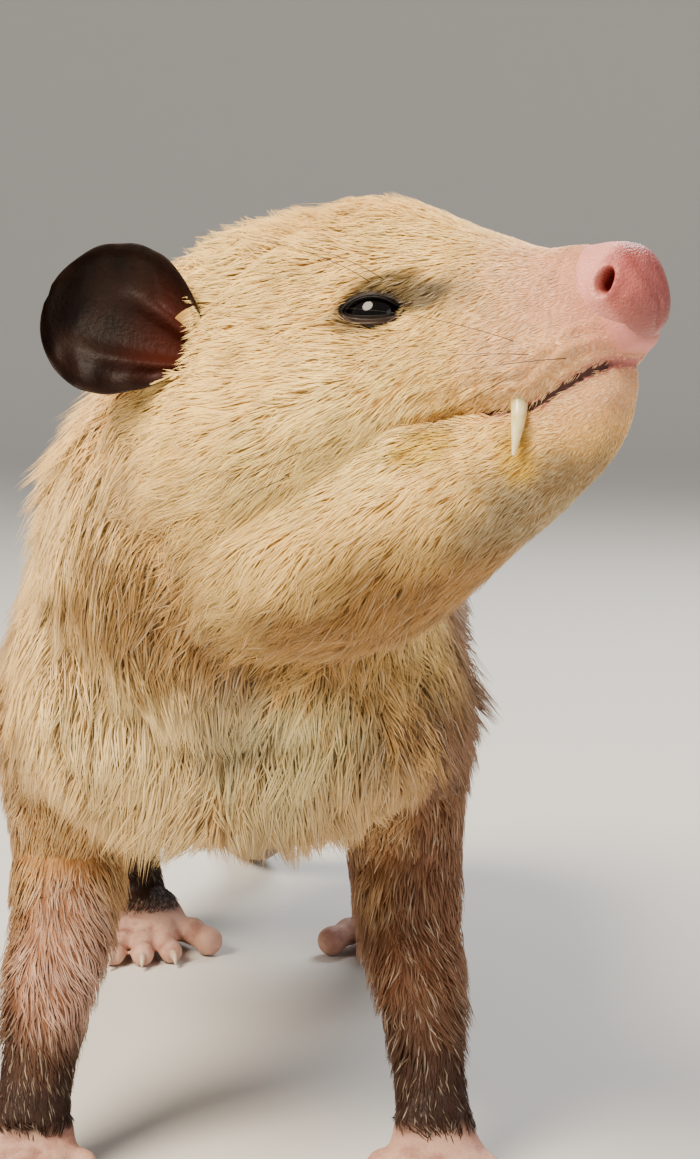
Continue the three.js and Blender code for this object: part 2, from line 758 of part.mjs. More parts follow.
const finish = (color, roughness) => new THREE.MeshStandardMaterial({ color, roughness, metalness: 0 });
const coat = {
  face: finish(0xe4cc9c, 0.9),
  chest: finish(0xc9a877, 0.95),
  flank: finish(0x8b7156, 0.95),
  leg: finish(0x4a3427, 0.95),
};
const bare = {
  nose: finish(0xc9726c, 0.5),
  ear: finish(0x1d1715, 0.65),
  eye: finish(0x100c0b, 0.12),
  tooth: finish(0xd9c48e, 0.35),
  foot: finish(0xb98a78, 0.7),
  claw: finish(0xd8c9a8, 0.45),
  tail: finish(0xc9b4a4, 0.75),
};
const materialFor = [
  [/^(head|lower_jaw)$/, coat.face],
  [/^(neck|chest)$/, coat.chest],
  [/^(loin|rump|tail_base)$/, coat.flank],
  [/^(upper_arm|forearm|thigh|shin)/, coat.leg],
  [/^(forefoot|hind_foot)/, bare.foot],
  [/^tail/, bare.tail],
  [/^ear/, bare.ear],
  [/^eye/, bare.eye],
  [/canine/, bare.tooth],
  [/claw/, bare.claw],
  [/^nose/, bare.nose],
];

function named(name, solid) {
  const [, material] = materialFor.find(([pattern]) => pattern.test(name));
  const mesh = new THREE.Mesh(geometryOf(solid), material);
  mesh.name = name;
  return mesh;
}

const opossum = new THREE.Group();
const { head, ...body } = partedBody();
const bodyParts = { ...body, ...clawPieces() };
for (const [name, solid] of Object.entries(bodyParts)) opossum.add(named(name, solid));
const faceParts = headPieces(moved(head, fromWorld), moved(body.neck, fromWorld));
for (const [name, solid] of Object.entries(faceParts)) headGroup.add(named(name, solid));
opossum.add(headGroup);

// The origin is on the floor, under the middle of the whole animal.
opossum.updateMatrixWorld(true);
const middle = new THREE.Box3().setFromObject(opossum, true).getCenter(new THREE.Vector3());
opossum.position.set(-middle.x, -middle.y, 0);

export default opossum;
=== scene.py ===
import math
from functools import partial
import bpy
import numpy as np
from mathutils import Matrix, Vector
from mathutils.bvhtree import BVHTree
from mathutils.kdtree import KDTree


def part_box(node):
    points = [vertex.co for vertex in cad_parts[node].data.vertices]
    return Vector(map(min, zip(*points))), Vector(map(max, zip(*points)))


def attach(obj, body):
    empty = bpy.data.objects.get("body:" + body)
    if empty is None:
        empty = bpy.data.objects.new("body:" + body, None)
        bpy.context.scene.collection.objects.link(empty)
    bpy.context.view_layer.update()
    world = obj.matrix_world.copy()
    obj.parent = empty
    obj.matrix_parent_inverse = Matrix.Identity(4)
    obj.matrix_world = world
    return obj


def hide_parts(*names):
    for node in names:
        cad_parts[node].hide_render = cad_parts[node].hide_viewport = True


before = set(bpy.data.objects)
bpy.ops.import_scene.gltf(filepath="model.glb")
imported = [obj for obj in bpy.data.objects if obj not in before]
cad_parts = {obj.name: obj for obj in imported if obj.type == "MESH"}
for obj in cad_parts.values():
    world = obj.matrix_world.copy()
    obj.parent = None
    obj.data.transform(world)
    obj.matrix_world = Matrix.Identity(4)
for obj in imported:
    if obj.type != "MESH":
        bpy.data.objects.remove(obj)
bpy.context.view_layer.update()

# A standing Virginia opossum: one skin from nose to tail, a coat of many thin tufts, bare nose,
# ears, feet and tail. Shapes are thought out in millimetres, with the nose tip, the forefeet and
# the floor where the photograph has them, and moved into the frame when a mesh is made.

mm = 0.001
rng = np.random.default_rng(11)
sideNames = {-1: "Right", 1: "Left"}


def say(stage):
    print("stage:", stage)


# How the head is carried, in degrees; its own frame has the nose tip at 0, +y back, +x left.
headSet = {"yaw": 51.0, "pitch": 16.8, "roll": 1.75, "tip": (86.0, -96.0, 210.5), "length": 115.0}
bodySet = {"flank": 64.0, "back": 186.0, "front": -28.0, "length": 292.0}
eyeSet = {"radius": 7.0, "middle": (13.6, 56.5, 10.6), "ball": 6.5, "sunk": 1.5}

turnHead = (
    Matrix.Rotation(math.radians(headSet["yaw"]), 3, "Z")
    @ Matrix.Rotation(math.radians(-headSet["pitch"]), 3, "X")
    @ Matrix.Rotation(math.radians(headSet["roll"]), 3, "Y")
)
headTurn = np.array(turnHead)
headTip = np.array(headSet["tip"])


def fromHead(points):
    return np.asarray(points, float) @ headTurn.T + headTip


def toHead(points):
    return (np.asarray(points, float) - headTip) @ headTurn


# The frame's origin is under the middle of the animal: one eye says how far the shapes move.
low, high = (np.array(corner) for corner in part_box("eye_left"))
shift = (low + high) / 2 / mm - fromHead([eyeSet["middle"]])[0]


def inFrame(points):
    return (np.asarray(points, float) + shift) * mm


def fromFrame(points):
    return np.asarray(points, float) / mm - shift


def smooth(low, high, value):
    part = np.clip((value - low) / (high - low), 0, 1)
    return part * part * (3 - 2 * part)


def unit(vectors):
    vectors = np.asarray(vectors, float)
    return vectors / np.maximum(np.linalg.norm(vectors, axis=-1, keepdims=True), 1e-9)


def mirrored(place, sign):
    return np.array(place) * [sign, 1, 1]


def bothSides(make):
    return {sign: make(sign) for sign in sideNames}


# Meshes from points and faces

def linked(name, mesh):
    mesh.polygons.foreach_set("use_smooth", [True] * len(mesh.polygons))
    piece = bpy.data.objects.new(name, mesh)
    bpy.context.scene.collection.objects.link(piece)
    return piece


def newPiece(name, points, faces):
    mesh = bpy.data.meshes.new(name)
    mesh.from_pydata(inFrame(points).tolist(), [], faces)
    mesh.validate()
    mesh.update()
    return linked(name, mesh)


def only(*pieces):
    bpy.ops.object.select_all(action="DESELECT")
    for piece in pieces:
        piece.select_set(True)
    bpy.context.view_layer.objects.active = pieces[0]


def outwards(piece):
    only(piece)
    bpy.ops.object.mode_set(mode="EDIT")
    bpy.ops.mesh.select_all(action="SELECT")
    bpy.ops.mesh.remove_doubles(threshold=0.00001)
    bpy.ops.mesh.normals_make_consistent(inside=False)
    bpy.ops.object.mode_set(mode="OBJECT")


def applied(piece, kind, **settings):
    only(piece)
    modifier = piece.modifiers.new(kind.title(), kind)
    for key, value in settings.items():
        setattr(modifier, key, value)
    bpy.ops.object.modifier_apply(modifier=modifier.name)


def finished(piece, material):
    piece.data.materials.append(material)
    outwards(piece)
    return piece


def joinedPiece(name, pieces):
    only(*pieces)
    bpy.ops.object.join()
    pieces[0].name = name
    pieces[0].data.name = name
    return pieces[0]


def readValues(source, name, width, kind=float):
    values = np.empty(len(source) * width, kind)
    source.foreach_get(name, values)
    return values.reshape(-1, width)


def readPoints(piece):
    return fromFrame(readValues(piece.data.vertices, "co", 3))


def writePoints(piece, points):
    piece.data.vertices.foreach_set("co", inFrame(points).ravel())
    piece.data.update()


# A smooth curve through rows of sizes; the first column is the place along the form.
def between(rows):
    rows = np.asarray(rows, float)
    place = rows[:, 0]
    slopes = np.gradient(rows, place, axis=0)

    def at(wanted):
        wanted = np.clip(np.asarray(wanted, float), place[0], place[-1])
        i = np.clip(np.searchsorted(place, wanted) - 1, 0, len(place) - 2)
        span = (place[i + 1] - place[i])[:, None]
        t = ((wanted - place[i]) / span[:, 0])[:, None]
        start, end = rows[i], rows[i + 1]
        curve = (2 * t**3 - 3 * t**2 + 1) * start + (t**3 - 2 * t**2 + t) * span * slopes[i]
        return curve + (3 * t**2 - 2 * t**3) * end + (t**3 - t**2) * span * slopes[i + 1]

    return at


# The faces between rings of points, each ring after the one before.
def ringFaces(count, around):
    faces = []
    for start in range(0, (count - 1) * around, around):
        for k in range(around):
            a, b = start + k, start + (k + 1) % around
            faces.append((a, b, b + around, a + around))
    return faces


def ringSkin(name, rings):
    rings = np.asarray(rings)
    count, around = rings.shape[:2]
    points = np.concatenate([rings.reshape(-1, 3), rings[:1].mean(1), rings[-1:].mean(1)])
    faces = ringFaces(count, around)
    last = (count - 1) * around
    for k in range(around):
        faces.append((count * around, (k + 1) % around, k))
        faces.append((count * around + 1, last + k, last + (k + 1) % around))
    return newPiece(name, points, faces)


# A form along y from rows of [y, half width, top, bottom, widest level].
def bodyForm(name, rows, squareness, inset=0.0, rings=90, around=64, shape=None):
    rows = np.array(rows, float)
    table = between(rows)(np.linspace(rows[0, 0], rows[-1, 0], rings))
    depth = inset(table[:, 0]) if callable(inset) else np.full(rings, inset)
    y, wide, top, bottom, level = table.T
    wide, top, bottom = wide - depth, top - depth, bottom + depth
    turn = (np.arange(around) + 0.5) * 2 * np.pi / around
    c, s = np.cos(turn), np.sin(turn)
    power = 2 / squareness
    x = np.sign(c) * np.abs(c) ** power * wide[:, None]
    reach = np.where(s > 0, (top - level)[:, None], (level - bottom)[:, None])
    z = np.sign(s) * np.abs(s) ** power * reach + level[:, None]
    points = np.stack([x, np.repeat(y[:, None], around, 1), z], -1)
    if shape:
        points = shape(points)
    return ringSkin(name, points)


# A limb through points of [x, y, z, radius across, radius fore and aft].
def limbForm(name, points, across=(1, 0, 0), rings=60, around=28, inset=0.0):
    points = np.array(points, float)
    run = np.concatenate([[0], np.cumsum(np.linalg.norm(np.diff(points[:, :3], axis=0), axis=1))])
    rows = np.column_stack([run, points])
    table = between(rows)(np.linspace(0, run[-1], rings))
    middle, wide, deep = table[:, 1:4], table[:, 4] - inset, table[:, 5] - inset
    ahead = unit(np.gradient(middle, axis=0))
    across = np.array(across, float)
    side = unit(across - ahead * (ahead @ across)[:, None])
    third = np.cross(ahead, side)
    turn = (np.arange(around) + 0.5) * 2 * np.pi / around
    ring = middle[:, None] + side[:, None] * (wide[:, None] * np.cos(turn))[..., None]
    ring = ring + third[:, None] * (deep[:, None] * np.sin(turn))[..., None]
    return ringSkin(name, ring)


# Mouth line in the head's frame (y, z), and how far the lips part along it.
mouthLine = np.array(
    [[-8, -10.6], [5, -11.2], [14, -13.2], [27, -16.4], [34, -15.4], [42, -14.4], [50, -14.2]]
)
mouthSet = {"gap": 1.5, "corner": 50.0}


def mouthLevel(y):
    return np.interp(y, mouthLine[:, 0], mouthLine[:, 1])


def lipGap(y):
    return mouthSet["gap"] * (1 - 0.35 * smooth(24, mouthSet["corner"], y))


# The coat's depth over the skin, from the naked nose back to the crown, and along the jaw.
def faceDepth(y):
    return 0.6 + 2.2 * smooth(26, 50, y) + 3.4 * smooth(46, 78, y)


def jawDepth(y):
    return 0.8 + 2.6 * smooth(14, 34, y) + 4.5 * smooth(34, 75, y)


# Ends a form at its lip: side is 1 for the skull over the mouth, -1 for the jaw under it.
def lipped(points, side):
    x, y, z = np.moveaxis(points, -1, 0)
    lip = side * mouthLevel(y) + 0.5 * lipGap(y)
    clamp = smooth(mouthSet["corner"] + 5, mouthSet["corner"] - 1, y)
    z = z + (side * np.maximum(side * z, lip) - z) * clamp
    return np.stack([x, y, z], -1)


def skullShape(points):
    x, y, z = np.moveaxis(points, -1, 0)
    x = x * (1 - 0.2 * np.maximum(0, z) / 35)
    return lipped(np.stack([x, y, z], -1), 1)


def jawShape(points):
    return lipped(points, -1)


def skinForms():
    reach = headSet["length"]
    skullRows = [
        [4.0, 7.4, 9.6, -11.5, -2], [12, 11, 12.6, -14.5, -4], [22, 13.2, 15, -18.5, -5],
        [0.3 * reach, 15.8, 23, -18, -3], [0.41 * reach, 19.6, 33, -18, -1],
        [0.5 * reach, 25, 38, -22, -3], [0.6 * reach, 34, 41, -28, -6],
        [0.73 * reach, 40.5, 42.8, -34, -7], [0.86 * reach, 41.5, 42, -36, -5],
        [0.98 * reach, 37, 37.5, -36, 0], [1.04 * reach, 32, 32, -32, 0],
    ]
    jawRows = [
        [10, 5, -8, -18, -13.5], [14, 7.6, -8, -24.5, -15.5], [20, 9.6, -7, -31, -17.5],
        [28, 12, -6, -36.5, -19.5], [46, 20, -2, -44, -22], [59, 27, 0, -49.5, -25],
        [73, 33, 0, -54, -28], [90, 36, 0, -55, -28], [112, 33, 0, -48, -22],
    ]
    skull = bodyForm("skull", skullRows, 2.3, faceDepth, rings=150, around=110, shape=skullShape)
    jaw = bodyForm("jaw", jawRows, 2.2, jawDepth, rings=120, around=90, shape=jawShape)
    for piece in (skull, jaw):
        writePoints(piece, fromHead(readPoints(piece)))
    flank, back = bodySet["flank"], bodySet["back"]
    front, rear = bodySet["front"], bodySet["front"] + bodySet["length"]
    trunkRows = [
        [front, 0.42 * flank, back - 42, 94, 118], [front + 6, 0.66 * flank, back - 26, 83, 114],
        [front + 20, 0.86 * flank, back - 10, 75, 108], [front + 44, 0.95 * flank, back - 1, 70, 104],
        [front + 92, 0.99 * flank, back + 4, 65, 104], [front + 150, 1.03 * flank, back + 5, 60, 104],
        [rear - 82, 1.03 * flank, back, 60, 102], [rear - 44, 0.92 * flank, back - 17, 64, 102],
        [rear - 18, 0.68 * flank, back - 42, 72, 102], [rear, 0.3 * flank, back - 68, 84, 101],
    ]
    trunk = bodyForm("trunk", trunkRows, 2.25, inset=12.0, rings=110, around=80)
    trunkPoints = readPoints(trunk)
    trunkPoints[:, 1] = np.clip(trunkPoints[:, 1], front + 8, None)
    writePoints(trunk, trunkPoints)
    nape = fromHead([[0, 88, -8]])[0]
    neckRows = [[*nape, 41, 41], [6, -18, 163, 50, 49], [2, 12, 143, 53, 52], [0, 50, 128, 52, 52]]
    neck = limbForm("neck", neckRows, inset=11.5, around=64)
    tailRows = [
        [0, rear - 26, 104, 17, 19], [0, rear - 2, 96, 13.5, 14.5], [-1, rear + 22, 68, 11, 11.5],
        [-2, rear + 38, 40, 10.2, 10.2], [-4, rear + 56, 17, 9.4, 9.4], [-10, rear + 82, 8.1, 8.4, 8.4],
        [-24, rear + 118, 6.9, 7.2, 7.2], [-42, rear + 148, 5.5, 5.8, 5.8],
        [-62, rear + 172, 4.1, 4.4, 4.4], [-80, rear + 184, 2.8, 3.0, 3.0],
        [-95, rear + 188, 1.7, 1.8, 1.8],
    ]
    tail = limbForm("tail", tailRows, across=(0.6, -0.8, 0), rings=240, around=28)
    return [skull, jaw, trunk, neck, tail] + [form for sign in sideNames for form in legForms(sign)]


# Legs, feet and toes; x counts outwards from the middle of the animal.
def outward(sign, rows):
    return [[sign * row[0], *row[1:]] for row in rows]


footSet = {"hindMiddle": {-1: 38.0, 1: 42.0}}


# A toe: where it is rooted, the degrees that it turns outwards, its length, radius and height.
def toeAt(sign, place, turn, length, radius, height):
    x, y = place
    root, turn = (sign * x, y), sign * math.radians(turn)
    return {"root": root, "turn": turn, "length": length, "radius": radius, "height": height}


def foreToes(sign):
    for n in (-2, -1, 0, 1, 2):
        place = (48.5 + n * 4.4, -5 + abs(n) * 2.4)
        yield toeAt(sign, place, 2 + n * 20, 21 - abs(n) * 1.6, 3.7, 5.2)


def hindToes(sign):
    for n in (-1.5, -0.5, 0.5, 1.5):
        place = (footSet["hindMiddle"][sign] + 4 + n * 5.4, 206 + abs(n) * 1.6)
        yield toeAt(sign, place, 3 + n * 13, 21 - abs(n) * 1.2, 4.0, 5.4)


def hindThumb(sign):
    return toeAt(sign, (footSet["hindMiddle"][sign] - 9, 217), -38, 22, 5.0, 5.6)


def digit(name, toe):
    (rootX, rootY), turn, length = toe["root"], toe["turn"], toe["length"]
    radius, height = toe["radius"], toe["height"]
    ahead = (math.sin(turn), -math.cos(turn))

    def at(part, z, r):
        return [rootX + ahead[0] * length * part, rootY + ahead[1] * length * part, z, r, r]

    rows = [
        at(-0.1, height, radius * 1.05),
        at(0.22, height + 0.4, radius * 0.9),
        at(0.4, height + 0.6, radius * 0.98),
        at(0.58, radius * 1.1, radius * 0.84),
        at(0.78, radius * 1.0, radius * 1.0),
        at(0.92, radius * 0.9, radius * 0.9),
        at(0.985, radius * 0.86, radius * 0.6),
    ]
    return limbForm(name, rows, across=(ahead[1], -ahead[0], 0), rings=36, around=24, inset=0.25)


def legForms(sign):
    side, middle = sideNames[sign], footSet["hindMiddle"][sign]
    limbs = {
        "upperArm": [
            [38, 16, 122, 14, 20], [40, 24, 98, 15.5, 18], [42, 30, 78, 13.4, 14.2], [42, 32, 62, 12, 12],
        ],
        "forearm": [
            [42, 30, 82, 12, 12.6], [42.4, 28.6, 70, 12.9, 13.8], [43.2, 24, 55, 11.9, 12.4],
            [45.5, 15, 42, 10, 10.4], [47.5, 5, 22, 8.4, 8.2], [48.5, 0, 12, 9.4, 8.4],
        ],
        "palm": [[48, 6, 13, 9.2, 7.7], [48.5, 0, 8, 11.2, 7.7], [48.5, -8, 5.6, 12.2, 5.7]],
        "thigh": [
            [38, 214, 128, 14, 23], [40, 208, 108, 18, 29], [45, 196, 86, 15, 22], [48, 182, 66, 12, 14],
        ],
        "shin": [
            [48, 178, 70, 11.5, 11.5], [48, 190, 56, 11, 12], [46, 212, 40, 8.5, 9.6],
            [44, 228, 26, 7.4, 8], [43, 232, 14, 8.4, 8.4],
        ],
        "sole": [
            [43, 240, 11, 6.6, 6.6], [43, 232, 10, 9.7, 9.7], [middle + 1, 218, 8, 12.7, 7.7],
            [middle + 3, 204, 6, 13.2, 5.9],
        ],
    }
    forms = [limbForm(name + side, outward(sign, rows)) for name, rows in limbs.items()]
    toes = [*foreToes(sign), *hindToes(sign), hindThumb(sign)]
    return forms + [digit(f"toe{side}{i}", toe) for i, toe in enumerate(toes)]


# The eye's own frame: how far out of the head, towards the back corner, and up
def eyeFrame(sign):
    out = unit([sign * 0.83, -0.5, 0.24])
    along = np.array([sign * 0.45, 0.86, 0.22])
    along = unit(along - out * (along @ out))
    return mirrored(eyeSet["middle"], sign), out, along, np.cross(out, along) * sign


def toEye(points, sign):
    middle, out, along, up = eyeFrame(sign)
    return (toHead(points) - middle) @ np.array([along, up, out]).T


def fromEye(places, sign):
    middle, out, along, up = eyeFrame(sign)
    return fromHead(np.asarray(places) @ np.array([along, up, out]) + middle)


# Skin: the forms become one surface, which is then shaped like a head

skinSet = {"voxel": 1.0, "bodyRatio": 0.27, "settle": 6, "throat": 90, "floor": 0.02}


# The ears, in the head's frame: where they are rooted and how large they are.
earSet = {"root": (27.0, 95.0, 15.0), "length": 33.0, "width": 33.0}


# An ear's own directions: along it, across it, and the way its cup faces.
def earWays(sign):
    along = unit([sign * 0.44, 0.6, 0.5])
    facing = np.array([sign * 0.76, -0.62, 0.02])
    facing = unit(facing - along * (along @ facing))
    return along, np.cross(along, facing), facing


# Half an ear's width and its sheet's level, at a part of its length and a turn from rim to rim.
def earCup(part, turn):
    rising = 0.36 + 0.64 * np.sin(0.5 * np.pi * np.clip(part / 0.52, 0, 1)) ** 0.8
    rounding = np.sqrt(np.maximum(0, 1 - (np.maximum(part - 0.52, 0) / 0.485) ** 2))
    hollow = 11 * (1 - turn**2) * (1 - 0.5 * part) * np.minimum(1, 1.25 * rounding)
    return 0.5 * earSet["width"] * rising * rounding, -hollow - 3.4 * part**2


# Where places of the head are beside an ear: part along it, turn across, way before its sheet.
def besideEar(face, sign):
    own = (face - mirrored(earSet["root"], sign)) @ np.array(earWays(sign)).T
    part = own[:, 0] / earSet["length"]
    turn = own[:, 1] / np.maximum(earCup(part, 0)[0], 1)
    return part, turn, own[:, 2] - earCup(part, np.clip(turn, -1, 1))[1]


# Pushes the points near a place along a direction, fading out at the given reach.
def push(points, place, direction, amount, reach):
    away = np.linalg.norm(points - np.asarray(place, float), axis=1)
    fade = 1 - smooth(0, reach, away)
    return points + fade[:, None] * amount * unit(direction)


# Bulges and hollows of each cheek: place, direction, depth, reach.
facePushes = [
    ((11, 17, -8), (1, 0, 0), 1.3, 10),  # whisker pad
    ((12.5, 28, -11), (1, 0, -0.2), 1.0, 8),  # lip over the canine
    ((17, 38, 2), (-1, 0, -0.4), 1.2, 11),  # hollow before the eye
    ((24, 60, -9), (1, 0, 0), 1.8, 16),  # cheek
]


def shapedFace(points):
    face = toHead(points)
    for sign in sideNames:
        middle, out = eyeFrame(sign)[:2]
        surface = middle + out * eyeSet["radius"]
        face = push(face, surface + [0, -3, -1], -out, 1.6, 13)
        face = push(face, surface + mirrored((-2, 3, 9), sign), out, 1.6, 9)
        for place, direction, depth, reach in facePushes:
            face = push(face, mirrored(place, sign), mirrored(direction, sign), depth, reach)
        part, turn, before = besideEar(face, sign)
        within = smooth(-0.09, 0.07, part) * smooth(0.9, 0.7, part) * smooth(1.15, 0.85, np.abs(turn))
        face = face - earWays(sign)[2] * (within * np.maximum(before + 1, 0))[:, None]
    x, y, z = face.T
    behindNostril = (np.hypot(y - 5.2, z - 2.2) < 4.2) & (y < 11)
    face[:, 0] = np.where(behindNostril, np.sign(x) * np.minimum(np.abs(x), 1.6), x)
    x = face[:, 0]
    above = z - mouthLevel(y)
    lips = smooth(0.4, 1.5, above) * smooth(11, 6, above) * smooth(6, 12, y) * smooth(54, 40, y)
    waves = np.sin(above * 1.9 + 1.4 * np.sin(y * 0.33)) + 0.7 * np.sin(y * 1.15 + above * 0.5)
    face[:, 0] = x + np.sign(x) * 0.42 * lips * waves
    points = fromHead(face)
    for sign in sideNames:
        own = toEye(points, sign)
        inside = 1 - smooth(0.8, 1.05, np.hypot(own[:, 0] / 6.8, own[:, 1] / 3.6))
        inside = inside * (own[:, 2] > -2)
        own[:, 2] += inside * (np.minimum(own[:, 2], 1.5) - own[:, 2])
        points = fromEye(own, sign)
    return points


# A group of vertices by weight, in steps; a weight between two steps takes the later one.
def weighted(piece, name, weights, steps):
    group = piece.vertex_groups.new(name=name)
    for step in steps:
        chosen = np.where(np.abs(weights - step) < 0.17)[0]
        group.add([int(i) for i in chosen], step, "REPLACE")


def makeSkin():
    skin = joinedPiece("skin", skinForms())
    applied(skin, "REMESH", mode="VOXEL", voxel_size=skinSet["voxel"] * mm, use_smooth_shade=True)
    applied(skin, "SMOOTH", factor=0.5, iterations=skinSet["settle"])
    face = toHead(readPoints(skin))
    crease = smooth(78, 96, face[:, 1]) * smooth(150, 128, face[:, 1]) * smooth(12, -4, face[:, 2])
    weighted(skin, "crease", crease, (0.33, 0.66, 1.0))
    applied(skin, "SMOOTH", factor=1.0, iterations=skinSet["throat"], vertex_group="crease")
    points = shapedFace(readPoints(skin))
    writePoints(skin, points)
    fine = smooth(95, 60, toHead(points)[:, 1])
    legs = 0.34 * smooth(96, 84, points[:, 2])
    feet = 0.66 * smooth(24, 14, points[:, 2])
    keep = np.clip(1 - np.maximum(fine, np.maximum(legs, feet)), 0, 1)
    weighted(skin, "coarse", keep, (1.0, 0.66, 0.33))
    ratio = skinSet["bodyRatio"]
    applied(skin, "DECIMATE", ratio=ratio, vertex_group="coarse", vertex_group_factor=4.0)
    points = readPoints(skin)
    points[:, 2] = np.maximum(points[:, 2], skinSet["floor"])
    writePoints(skin, points)
    only(skin)
    bpy.ops.object.shade_smooth()
    return skin


say("skin")
skin = makeSkin()
print("skin triangles", sum(len(p.vertices) - 2 for p in skin.data.polygons))


# Colours are sRGB hex, turned to the linear numbers that a shader takes.
def hexColour(text):
    parts = [int(text[i:i + 2], 16) / 255 for i in (0, 2, 4)]
    linear = [p / 12.92 if p <= 0.04045 else ((p + 0.055) / 1.055) ** 2.4 for p in parts]
    return (*linear, 1.0)


# What every node of a kind is set to: colours are mixed, and ranges run in softly.
usual = {"Mix": {"data_type": "RGBA"}, "MapRange": {"interpolation_type": "SMOOTHSTEP"}}


# Adds a node with its settings and links. A value that is a node is linked from its first live output.
def addNode(tree, kind, links=None, **settings):
    node = tree.nodes.new("ShaderNode" + kind)
    for key, value in (usual.get(kind, {}) | settings).items():
        setattr(node, key, value)
    for socket, value in (links or {}).items():
        if isinstance(value, bpy.types.Node):
            value = next(output for output in value.outputs if output.enabled)
        if isinstance(value, bpy.types.NodeSocket):
            tree.links.new(value, node.inputs[socket])
        else:
            node.inputs[socket].default_value = value
    return node


def span(low, high, start=0.0, end=1.0):
    return {"From Min": low, "From Max": high, "To Min": start, "To Max": end}


# A noise whose largest grains are this many millimetres across.
def grain(size, detail=3.0, rough=0.55, distortion=0.0):
    return {"Scale": 1 / size, "Detail": detail, "Roughness": rough, "Distortion": distortion}


def newMaterial(name, **shader):
    material = bpy.data.materials.new(name)
    material.use_nodes = True
    tree = material.node_tree
    principled = tree.nodes["Principled BSDF"]
    for socket, value in shader.items():
        principled.inputs[socket.replace("_", " ")].default_value = value
    return material, partial(addNode, tree), principled


# Links a finish's colour, and its bump where it has one.
def dress(principled, colour, bump=None):
    links = principled.id_data.links
    links.new(colour.outputs[2], principled.inputs["Base Color"])
    if bump:
        links.new(bump.outputs[0], principled.inputs["Normal"])


# A place in the animal's own millimetres, wherever the frame's origin is.
def ownPlace(add):
    where = add("TexCoord").outputs["Object"]
    return add("Mapping", {"Vector": where, "Location": tuple(-shift), "Scale": (1000, 1000, 1000)})


# How near a place is to a spot: the strength at its middle, 0 at its rim; noise frays the rim.
def spot(add, place, middle, radii, strength, fray):
    centred = add("VectorMath", {0: place, 1: tuple(map(float, middle))}, operation="SUBTRACT")
    scaled = add("VectorMath", {0: centred, 1: tuple(1 / r for r in radii)}, operation="MULTIPLY")
    far = add("VectorMath", {0: scaled}, operation="LENGTH")
    frayed = add("Math", {0: far, 1: fray}, operation="ADD")
    return add("MapRange", {"Value": frayed, **span(1.15, 0.55, 0, strength)})


coatColours = {
    "face": "F8D280",
    "cheek": "FFE08E",
    "brow": "E8B869",
    "muzzle": "F5C9A4",
    "snout": "E2A191",
    "chest": "E9BC74",
    # chestPale is the chest's pale fur, and also painted light on the low chest
    "chestPale": "FCE0A0",
    "sternum": "FAE8A6",
    "grey": "7D776C",
    "parting": "AC8250",
    # The throat colour is painted shade: a darker tan under the jaw and on the neck below the head
    "throat": "A07844",
    "stain": "D9B23C",
    "flank": "93745A",
    "back": "685C52",
    "leg": "7E5A42",
    "arm": "C4A06C",
    "wrist": "362117",
    "thin": "BD9784",
    "lash": "1C1410",
    "skinPink": "E3B5A5",
    "toe": "C99D88",
    "tail": "CDB5A2",
    "tailRoot": "3C322D",
}

# Spots of colour in the head's frame and on the body: place, reach each way, colour, strength.
faceSpots = [
    ((0, 4, -2), (26, 42, 30), "muzzle", 0.95),
    ((0, 2, 2), (22, 24, 17), "snout", 0.85),
    ((0, 62, 40), (30, 34, 14), "brow", 0.7),
    ((-28, 66, -12), (16, 34, 16), "cheek", 0.9),
    ((28, 66, -12), (16, 34, 16), "cheek", 0.9),
    # Grey under the lower jaw: partly its grey bristly fur, partly painted shade under the jaw
    ((0, 34, -36), (20, 34, 16), "grey", 0.75),
    # Painted shade under the jaw, towards the throat
    ((0, 76, -56), (48, 46, 26), "throat", 1.0),
]
for side in sideNames:
    faceSpots += [
        ((side * 14.5, 56.5, 10.8), (10, 9.5, 5.2), "lash", 0.8),
        ((side * 17, 51, 15.4), (9, 9, 3.4), "lash", 0.8),
        ((side * 17, 44, 11), (8, 9, 3.6), "lash", 0.85),
        ((side * 16.5, 38, 11), (7, 10, 6), "grey", 0.35),
        # Painted shade along the mouth line behind the canine, in the dark lash colour
        ((side * 17, 47.5, -15.5), (8, 5, 2.6), "lash", 0.35),
        ((side * 19, 49, -18.5), (9, 8, 4), "stain", 0.7),
        ((side * 14, 32, -26), (8, 5.5, 9), "stain", 0.85),
    ]
bodySpots = [
    ((-22, -20, 138), (46, 50, 44), "chestPale", 0.5),
    # Painted light on the low chest, lifting its shade as light bounced from the floor would
    ((-14, -20, 102), (46, 50, 30), "chestPale", 0.65),
    # Painted shade on the neck, under the head
    ((8, -30, 142), (60, 50, 26), "throat", 0.9),
    ((17, -16, 96), (20, 34, 34), "sternum", 0.9),
    ((2, -20, 116), (11, 30, 18), "grey", 0.45),
    ((33, -18, 112), (6, 30, 20), "grey", 0.4),
    ((66, 6, 112), (30, 70, 88), "leg", 0.95),
    ((-68, 20, 100), (20, 70, 60), "leg", 0.5),
]
legSpots = [
    ((29, -8, 80), (18, 30, 32), "arm", 0.8),
    ((-42, 0, 84), (26, 34, 30), "arm", 0.7),
    ((-40, 4, 52), (17, 26, 22), "thin", 0.85),
]


